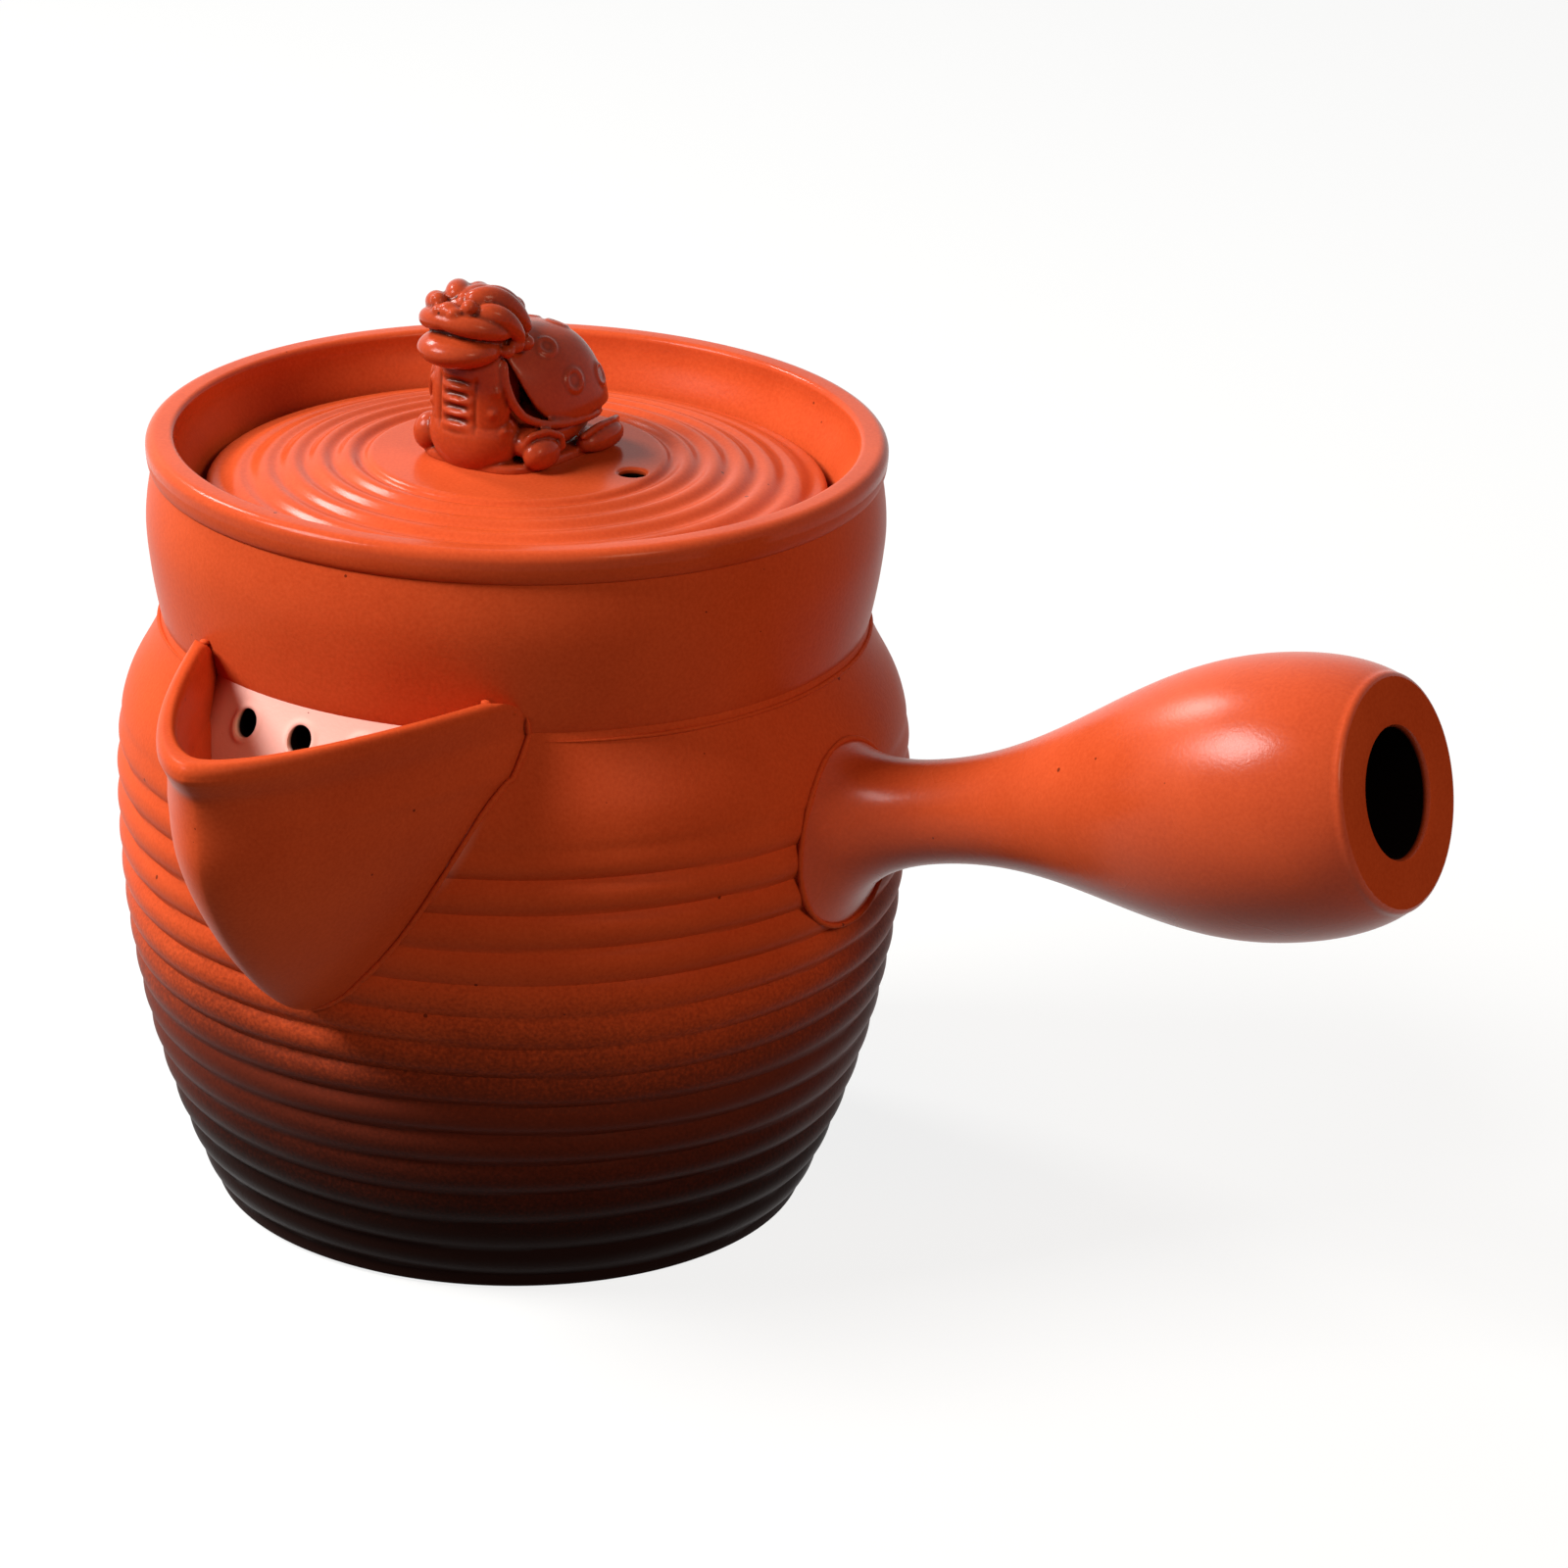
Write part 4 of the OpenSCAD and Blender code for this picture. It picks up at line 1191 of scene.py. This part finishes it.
def rope(places, radius):
    """Closed rope: a circle carried along a path eased through the places, with round ends."""
    p = np.asarray(places, float)
    t = np.linspace(0, 1, 65)
    path = np.stack([np.interp(t, np.linspace(0, 1, len(p)), c) for c in p.T], -1)
    for _ in range(12):
        path[1:-1] = (path[:-2] + 2 * path[1:-1] + path[2:]) / 4
    size = radius * np.clip(np.minimum(t, 1 - t) / 0.06, 0, 1) ** 0.5
    return sheet(tube(path, np.tile(UPRIGHT, (len(t), 1)), size, 20), wrap=True)


def mirrored(parts):
    """The beast's left parts followed by their mirrors on the right."""
    return parts + [(points * [1, -1, 1], quads) for points, quads in parts]


def rounded_square(b, power):
    """Square from -1 to 1 with rounded corners: cosine and sine to a power that keep their signs."""
    ring = np.stack([np.cos(b), np.sin(b)], -1)
    return np.sign(ring) * np.abs(ring) ** power


# Marks on the beast's left: place, width and radius of a raised ring or dot, and its height
MARKS = (
    ((-2.5, 7.0, 8.65), 0.3, 1.15, 0.2), ((-0.7, 5.0, 12.7), 0.3, 1.0, 0.2),
    ((-7.6, 6.6, 8.0), 0.3, 1.1, 0.2), ((-6.5, 2.0, 13.6), 0.3, 1.1, 0.2), ((-11.2, 2.2, 8.5), 0.3, 1.1, 0.2),
    ((7.0, 3.7, 9.1), 0.45, 0, 0.3), ((7.7, 4.0, 6.7), 0.45, 0, 0.3), ((5.9, 5.0, 7.0), 0.45, 0, 0.3),
    ((6.9, 5.0, 4.8), 0.45, 0, 0.3),
)
# Throat: height and spacing of its ridges, half its width, and the groove on either side
THROAT_RIDGE, THROAT_PITCH, THROAT_HALF, THROAT_GROOVE = 0.34, 1.45, 2.2, 0.2
# Painted shade in creases: bend in millimetres that takes the most, how dark that is, and how often it
# spreads
CREASE_BEND, CREASE_DARK, CREASE_SPREADS = 0.016, 0.7, 5


class CLAY_OT_knob(bpy.types.Operator):
    """Moulded beast on the lid: a crouching shell-backed creature with a swept mane"""

    bl_idname = "teapot.knob"
    bl_label = "Beast knob"

    def execute(self, context):
        k = in_mm(context.scene.clay_knob)
        mesh = self.fused(merged("knob_forms", self.body() + self.head() + [self.shell(), self.plinth()]), k)
        self.tooled(mesh)
        points = read(mesh.vertices, "co") / MM
        points[:, 2] = np.maximum(points[:, 2], 0)
        move_to(mesh, turned_by(points + [0, k.shift, 0], k.turn) + [0, 0, k.base_z])
        # Painted shade, dark in the beast's creases
        painted_shade = self.creases(mesh)
        place("lid_knob_beast", mesh, moulded_clay(context), "lid", "lid_knob", sharp=180,
              painted_shade_at=lambda points: painted_shade)
        return {"FINISHED"}

    @staticmethod
    def body():
        """Low trunk, upright chest, the flange that the shell rests on, paws and tail.

        The beast's forms are in millimetres about the middle of its base, and it faces +X.
        """
        parts = [
            egg((-2.0, 0, 3.0), (9.0, 7.2, 3.0)),
            egg((5.6, 0, 3.4), (3.8, 5.5, 4.6)),
            egg((6.3, 0, 7.0), (2.8, 4.9, 9.6)),
            egg((2.5, 0, 7.0), (3.0, 3.0, 5.0)),
            egg((-11.0, 0, 2.2), (2.2, 2.0, 1.6)),
            egg((5.6, -6.0, 2.3), (2.1, 1.9, 2.2)),
            egg((3.3, 7.4, 2.0), (2.6, 1.7, 1.9)),
            egg((3.0, 5.8, 2.9), (2.9, 2.5, 1.8)),
            rope([(5.7, 6.2, 2.6), (5.0, 7.2, 4.3), (3.1, 8.0, 4.5), (1.3, 8.5, 3.7), (1.1, 8.7, 2.0)], 0.38),
        ]
        left = [
            rope([(5.9, 4.1, 12.6), (6.4, 4.6, 10.4), (6.2, 5.4, 8.2), (5.0, 6.1, 6.1), (2.6, 7.2, 4.9),
                  (-0.5, 7.7, 4.4), (-4.0, 7.9, 4.2), (-8.0, 7.1, 4.1)], 0.5),
            lobe((-3.2, 7.4, 1.2), (-6.6, 8.9, 1.5), (-10.2, 7.4, 1.4), 1.3, 1.5),
            rope([(-2.6, 8.1, 2.2), (-5.4, 8.5, 3.1), (-8.4, 8.2, 3.0), (-10.6, 7.2, 2.5)], 0.4),
        ]
        return parts + mirrored(left)

    @staticmethod
    def head():
        """Wide jaw, curled upper lip, nose, nostrils and eyes under a mane of swept locks."""
        parts = [
            egg((8.3, 0, 13.7), (4.7, 4.6, 2.1)),
            egg((6.4, 0, 15.6), (4.2, 4.3, 3.9)),
            egg((10.3, 0, 18.2), (1.2, 1.3, 1.0)),
            lobe((8.5, 0, 18.4), (5.4, 0, 19.9), (0.6, 0, 17.0), 1.2, 1.15),
            egg((-0.8, 0, 16.0), (1.4, 1.5, 1.3)),
        ]
        left = [
            lobe((11.2, -0.8, 17.2), (10.5, 4.6, 17.0), (5.8, 4.7, 15.4), 1.3, 1.0),
            egg((10.7, 1.0, 18.2), (0.9, 0.8, 0.65)),
            egg((9.4, 2.1, 18.8), (0.95, 0.9, 0.85)),
            lobe((8.1, 0.7, 18.7), (4.8, 3.0, 20.2), (1.8, 4.3, 14.8), 1.6, 1.15),
            lobe((8.6, 2.4, 17.9), (7.0, 5.3, 18.6), (4.0, 5.1, 14.2), 1.4, 1.0),
            lobe((5.8, 0.5, 18.8), (2.0, 1.5, 19.2), (0.3, 2.8, 14.6), 1.3, 1.0),
            egg((4.6, 4.8, 14.0), (0.95, 0.95, 0.95)),
            egg((6.0, 4.7, 13.5), (0.75, 0.75, 0.75)),
            egg((2.6, 4.6, 13.7), (0.9, 0.9, 0.9)),
        ]
        return parts + mirrored(left)

    @staticmethod
    def shell():
        """Domed shell: rings of a rounded square plan, flat on top and thin at the rim.

        The rim lifts towards the neck as a high power of the cosine of the turn.
        """
        half, middle, top_z, rim_z, neck_lift, thin = 8.2, -3.8, 14.2, 4.9, 8.6, 0.8
        b = full_turn(120)
        plan = half * rounded_square(b, 2 / 2.6)
        rim = rim_z + neck_lift * np.clip(np.cos(b), 0, 1) ** 5
        rings = 50
        out = np.concatenate([np.linspace(0, 1, rings) ** 0.6, np.linspace(1, 0, 24)[1:]])[:, None]
        above = np.arange(len(out))[:, None] < rings
        ahead, side = middle + out * plan[:, 0], out * plan[:, 1]
        top = top_z - 0.012 * (ahead - 1) ** 2
        share = np.clip(1 - out ** 3.2, 0, 1) ** 0.7
        up = np.where(above, (top - rim) * share, -thin * np.sqrt(np.clip(1 - out ** 2, 0, 1)))
        return sheet(np.stack(np.broadcast_arrays(ahead, side, rim + up), -1), wrap=True)

    @staticmethod
    def plinth():
        """Thin plate under the beast: a rounded rectangle with a rounded upper edge."""
        outline = rounded_square(full_turn(96), 0.55) * [9.2, 7.6]
        shares = np.array([0, 0.97, 1, 1, 0.985, 0.95, 0])[:, None, None]
        heights = np.array([-0.4, -0.4, -0.3, 0.5, 0.78, 0.9, 0.9])[:, None, None]
        plan = outline * shares + [-1.4, 0]
        return sheet(np.concatenate([plan, np.broadcast_to(heights, (*plan.shape[:2], 1))], -1), wrap=True)

    @staticmethod
    def fused(mesh, k):
        """One skin over all the forms, with its creases softened."""
        scratch = bpy.data.objects.new("knob_scratch", mesh)
        bpy.context.scene.collection.objects.link(scratch)
        remesh = scratch.modifiers.new("fuse", "REMESH")
        remesh.mode = "VOXEL"
        remesh.voxel_size = k.voxel * MM
        smooth = scratch.modifiers.new("soften", "SMOOTH")
        smooth.factor = 0.5
        smooth.iterations = k.soften
        graph = bpy.context.evaluated_depsgraph_get()
        made = bpy.data.meshes.new_from_object(scratch.evaluated_get(graph))
        bpy.data.objects.remove(scratch)
        return made

    @staticmethod
    def tooled(mesh):
        """Marks pressed into the clay, as moves along the normals.

        Throat ridges are a cosine of height, from 3.6 to 10.8 mm up where the skin faces ahead.
        Shell rings are a bell curve of the distance from each ring, and flank dots a bell
        curve of the distance from each dot.
        """
        p, n = read(mesh.vertices, "co") / MM, read(mesh.vertices, "normal")
        side, z = p[:, 1], p[:, 2]
        facing = np.clip((n[:, 0] - 0.1) / 0.3, 0, 1)
        facing *= np.clip((z - 3.6) / 2.4, 0, 1) * np.clip((10.8 - z) / 0.8, 0, 1)
        strip = np.clip((THROAT_HALF - np.abs(side)) / 1.6, 0, 1)
        move = THROAT_RIDGE * facing * strip * np.cos(2 * np.pi * (z - 9.3) / THROAT_PITCH)
        move -= THROAT_GROOVE * facing * np.exp(-((np.abs(side) - THROAT_HALF - 0.2) / 0.3) ** 2)
        for spot, size, ring, height in MARKS:
            for mirror in (1, -1):
                nearest = np.argmin(np.linalg.norm(p - np.array(spot) * [1, mirror, 1], axis=1))
                away = np.linalg.norm(p - p[nearest], axis=1)
                move += height * np.exp(-((away - ring) / size) ** 2)
        move_to(mesh, p + n * move[:, None])

    @staticmethod
    def creases(mesh):
        """Painted shade that gathers in creases, from 0 to 1.

        A point lies in a crease as far as the mean of its neighbours lies outside it along its
        normal, and the soot spreads to the neighbours a few times.
        """
        p, n = read(mesh.vertices, "co") / MM, read(mesh.vertices, "normal")
        ends = read(mesh.edges, "vertices", 2, int)
        here, there = np.concatenate([ends, ends[:, ::-1]]).T
        links = np.maximum(np.bincount(here, minlength=len(p)), 1)

        def mean(values):
            """Mean of a value over the neighbours of each point."""
            return np.bincount(here, values[there], len(p)) / links

        bend = sum((mean(p[:, i]) - p[:, i]) * n[:, i] for i in range(3))
        for _ in range(CREASE_SPREADS):
            bend = (bend + mean(bend)) / 2
        return np.clip(bend / CREASE_BEND, 0, 1) ** 0.8 * CREASE_DARK


# The photograph's camera in the part's frame, in metres and degrees: where it stands, how it is turned
# from +Y, and the angle of view from half the picture's width and the focal length, both in pixels
CAMERA_AT = (0.3593, -0.5429, 0.3029)
CAMERA_YAW = math.radians(-30.852)
CAMERA_PITCH = math.radians(21.472)
CAMERA_ROLL = math.radians(1.563)
HALF_PICTURE, FOCAL = 800, 6399.8
CAMERA_VIEW = 2 * math.atan(HALF_PICTURE / FOCAL)
# Direction from the pot to the camera, in degrees from the handle, and the middle of the pot
FACING = -56.5
MIDDLE = Vector((0, 0, 0.05))
# Lamps: degrees to the camera's right, degrees above the table, distance, width and height in metres,
# watts and tint; the front one is warm, so that the shaded clay stays red
LAMPS = {
    "key_softbox": (-78, 44, 0.75, 0.3, 0.26, 8.6, (1, 1, 1)),
    "back_softbox": (-135, 42, 0.8, 0.16, 0.16, 3.3, (1, 1, 1)),
    "front_softbox": (36, 34, 0.8, 0.2, 0.2, 1.85, (1, 0.76, 0.52)),
}
# Half of the floor's side in metres, its glow to the eye, and the surroundings' strength as light
FLOOR_HALF = 3.0
FLOOR_GLOW = 0.84
SKY_LIGHT = 0.05
WHITE = (1, 1, 1, 1)


def softbox(name, turn, rise, away, width, tall, watts, tint):
    """Rectangular lamp that faces the pot, by its angles and distance from the pot's middle."""
    lamp = bpy.data.lights.new(name, "AREA")
    lamp.shape = "RECTANGLE"
    lamp.size, lamp.size_y = width, tall
    lamp.energy = watts
    lamp.color = tint
    made = bpy.data.objects.new(name, lamp)
    a, e = math.radians(FACING + turn), math.radians(rise)
    out = Vector((math.cos(a) * math.cos(e), math.sin(a) * math.cos(e), math.sin(e)))
    made.location = out * away + MIDDLE
    made.rotation_euler = (MIDDLE - made.location).to_track_quat("-Z", "Y").to_euler()
    bpy.context.scene.collection.objects.link(made)


class CLAY_OT_stage(bpy.types.Operator):
    """Floor, soft lamps, pale surroundings and the camera"""

    bl_idname = "teapot.stage"
    bl_label = "Stage"

    def execute(self, context):
        scene = context.scene
        scene.view_settings.view_transform = "Standard"
        self.floor(scene)
        self.surroundings(scene)
        for name, lamp in LAMPS.items():
            softbox(name, *lamp)
        self.camera(scene)
        return {"FINISHED"}

    @staticmethod
    def seen(tree):
        """1 for rays from the camera, from gloss and through glass, 0 for rays that light."""
        path = node(tree, "ShaderNodeLightPath", {})
        seen = path.outputs["Is Camera Ray"]
        for ray in "Is Glossy Ray", "Is Transmission Ray":
            either = node(tree, "ShaderNodeMath", {0: seen, 1: path.outputs[ray]}, operation="MAXIMUM")
            seen = either.outputs[0]
        return seen

    def floor(self, scene):
        """Plain pale floor: matt paint that takes the shadow, with a glow that makes it white to the eye."""
        mesh = bpy.data.meshes.new("floor")
        corners = [(-1, -1), (1, -1), (1, 1), (-1, 1)]
        mesh.from_pydata([(x * FLOOR_HALF, y * FLOOR_HALF, 0) for x, y in corners], [], [(0, 1, 2, 3)])
        paint = bpy.data.materials.new("Pale floor paint")
        paint.use_nodes = True
        tree = paint.node_tree
        tree.nodes.clear()
        matt = node(tree, "ShaderNodeBsdfDiffuse", {"Color": rgba(scene.clay_colours, "floor")})
        strength = node(tree, "ShaderNodeMath", {0: self.seen(tree), 1: FLOOR_GLOW}, operation="MULTIPLY")
        glow = node(tree, "ShaderNodeEmission", {"Color": WHITE, "Strength": strength.outputs[0]})
        painted = node(tree, "ShaderNodeAddShader", {0: matt.outputs[0], 1: glow.outputs[0]})
        node(tree, "ShaderNodeOutputMaterial", {"Surface": painted.outputs[0]})
        mesh.materials.append(paint)
        made = bpy.data.objects.new("floor", mesh)
        scene.collection.objects.link(made)

    def surroundings(self, scene):
        """White to the eye, dimmer as light."""
        world = bpy.data.worlds.new("studio")
        scene.world = world
        world.use_nodes = True
        tree = world.node_tree
        tree.nodes.clear()
        strength = node(tree, "ShaderNodeMapRange", {
            "Value": self.seen(tree), "To Min": SKY_LIGHT, "To Max": 1.0
        })
        sky = node(tree, "ShaderNodeBackground", {"Color": WHITE, "Strength": strength.outputs[0]})
        node(tree, "ShaderNodeOutputWorld", {"Surface": sky.outputs[0]})

    @staticmethod
    def camera(scene):
        """Camera where the photograph was taken from, with its roll."""
        lens = bpy.data.cameras.new("camera")
        lens.sensor_fit = "HORIZONTAL"
        lens.angle = CAMERA_VIEW
        lens.clip_start = 0.01
        ahead = Vector((
            math.sin(CAMERA_YAW) * math.cos(CAMERA_PITCH), math.cos(CAMERA_YAW) * math.cos(CAMERA_PITCH),
            -math.sin(CAMERA_PITCH)
        ))
        right = ahead.cross(Vector((0, 0, 1))).normalized()
        up = right.cross(ahead)
        c, n = math.cos(CAMERA_ROLL), math.sin(CAMERA_ROLL)
        right, up = right * c + up * n, up * c - right * n
        made = bpy.data.objects.new("camera", lens)
        made.matrix_world = Matrix.Translation(CAMERA_AT) @ Matrix((right, up, -ahead)).transposed().to_4x4()
        scene.collection.objects.link(made)
        scene.camera = made


class CLAY_PT_teapot(bpy.types.Panel):
    """Lists the pieces of the teapot and what a user can change"""

    bl_idname = "CLAY_PT_teapot"
    bl_label = "Clay teapot"
    bl_space_type = "VIEW_3D"
    bl_region_type = "UI"
    bl_category = "Teapot"

    def draw(self, context):
        for operator in OPERATORS:
            self.layout.operator(operator.bl_idname)
        for key, group in GROUPS.items():
            box = self.layout.box()
            box.label(text=group.__doc__)
            for name in group.__annotations__:
                box.prop(getattr(context.scene, key), name)


GROUPS = {
    "clay_pot": PotSizes, "clay_spout": SpoutSizes, "clay_handle": HandleSizes, "clay_lid": LidSizes,
    "clay_knob": KnobSizes, "clay_slip": SlipSizes, "clay_colours": ClayColours,
}
OPERATORS = (
    CLAY_OT_stage, CLAY_OT_pot_body, CLAY_OT_collar, CLAY_OT_spout, CLAY_OT_handle, CLAY_OT_slips,
    CLAY_OT_lid, CLAY_OT_knob,
)


def register():
    """Makes the sizes, the operators and the panel known to Blender."""
    for key, group in GROUPS.items():
        bpy.utils.register_class(group)
        setattr(bpy.types.Scene, key, PointerProperty(type=group))
    for made in *OPERATORS, CLAY_PT_teapot:
        bpy.utils.register_class(made)


def unregister():
    """Takes them away again, in the opposite order."""
    for made in CLAY_PT_teapot, *reversed(OPERATORS):
        bpy.utils.unregister_class(made)
    for key, group in reversed(GROUPS.items()):
        delattr(bpy.types.Scene, key)
        bpy.utils.unregister_class(group)


def main():
    """Builds every piece."""
    register()
    for operator in OPERATORS:
        family, name = operator.bl_idname.split(".")
        getattr(getattr(bpy.ops, family), name)()
    bpy.context.view_layer.update()


if __name__ == "__main__":
    main()
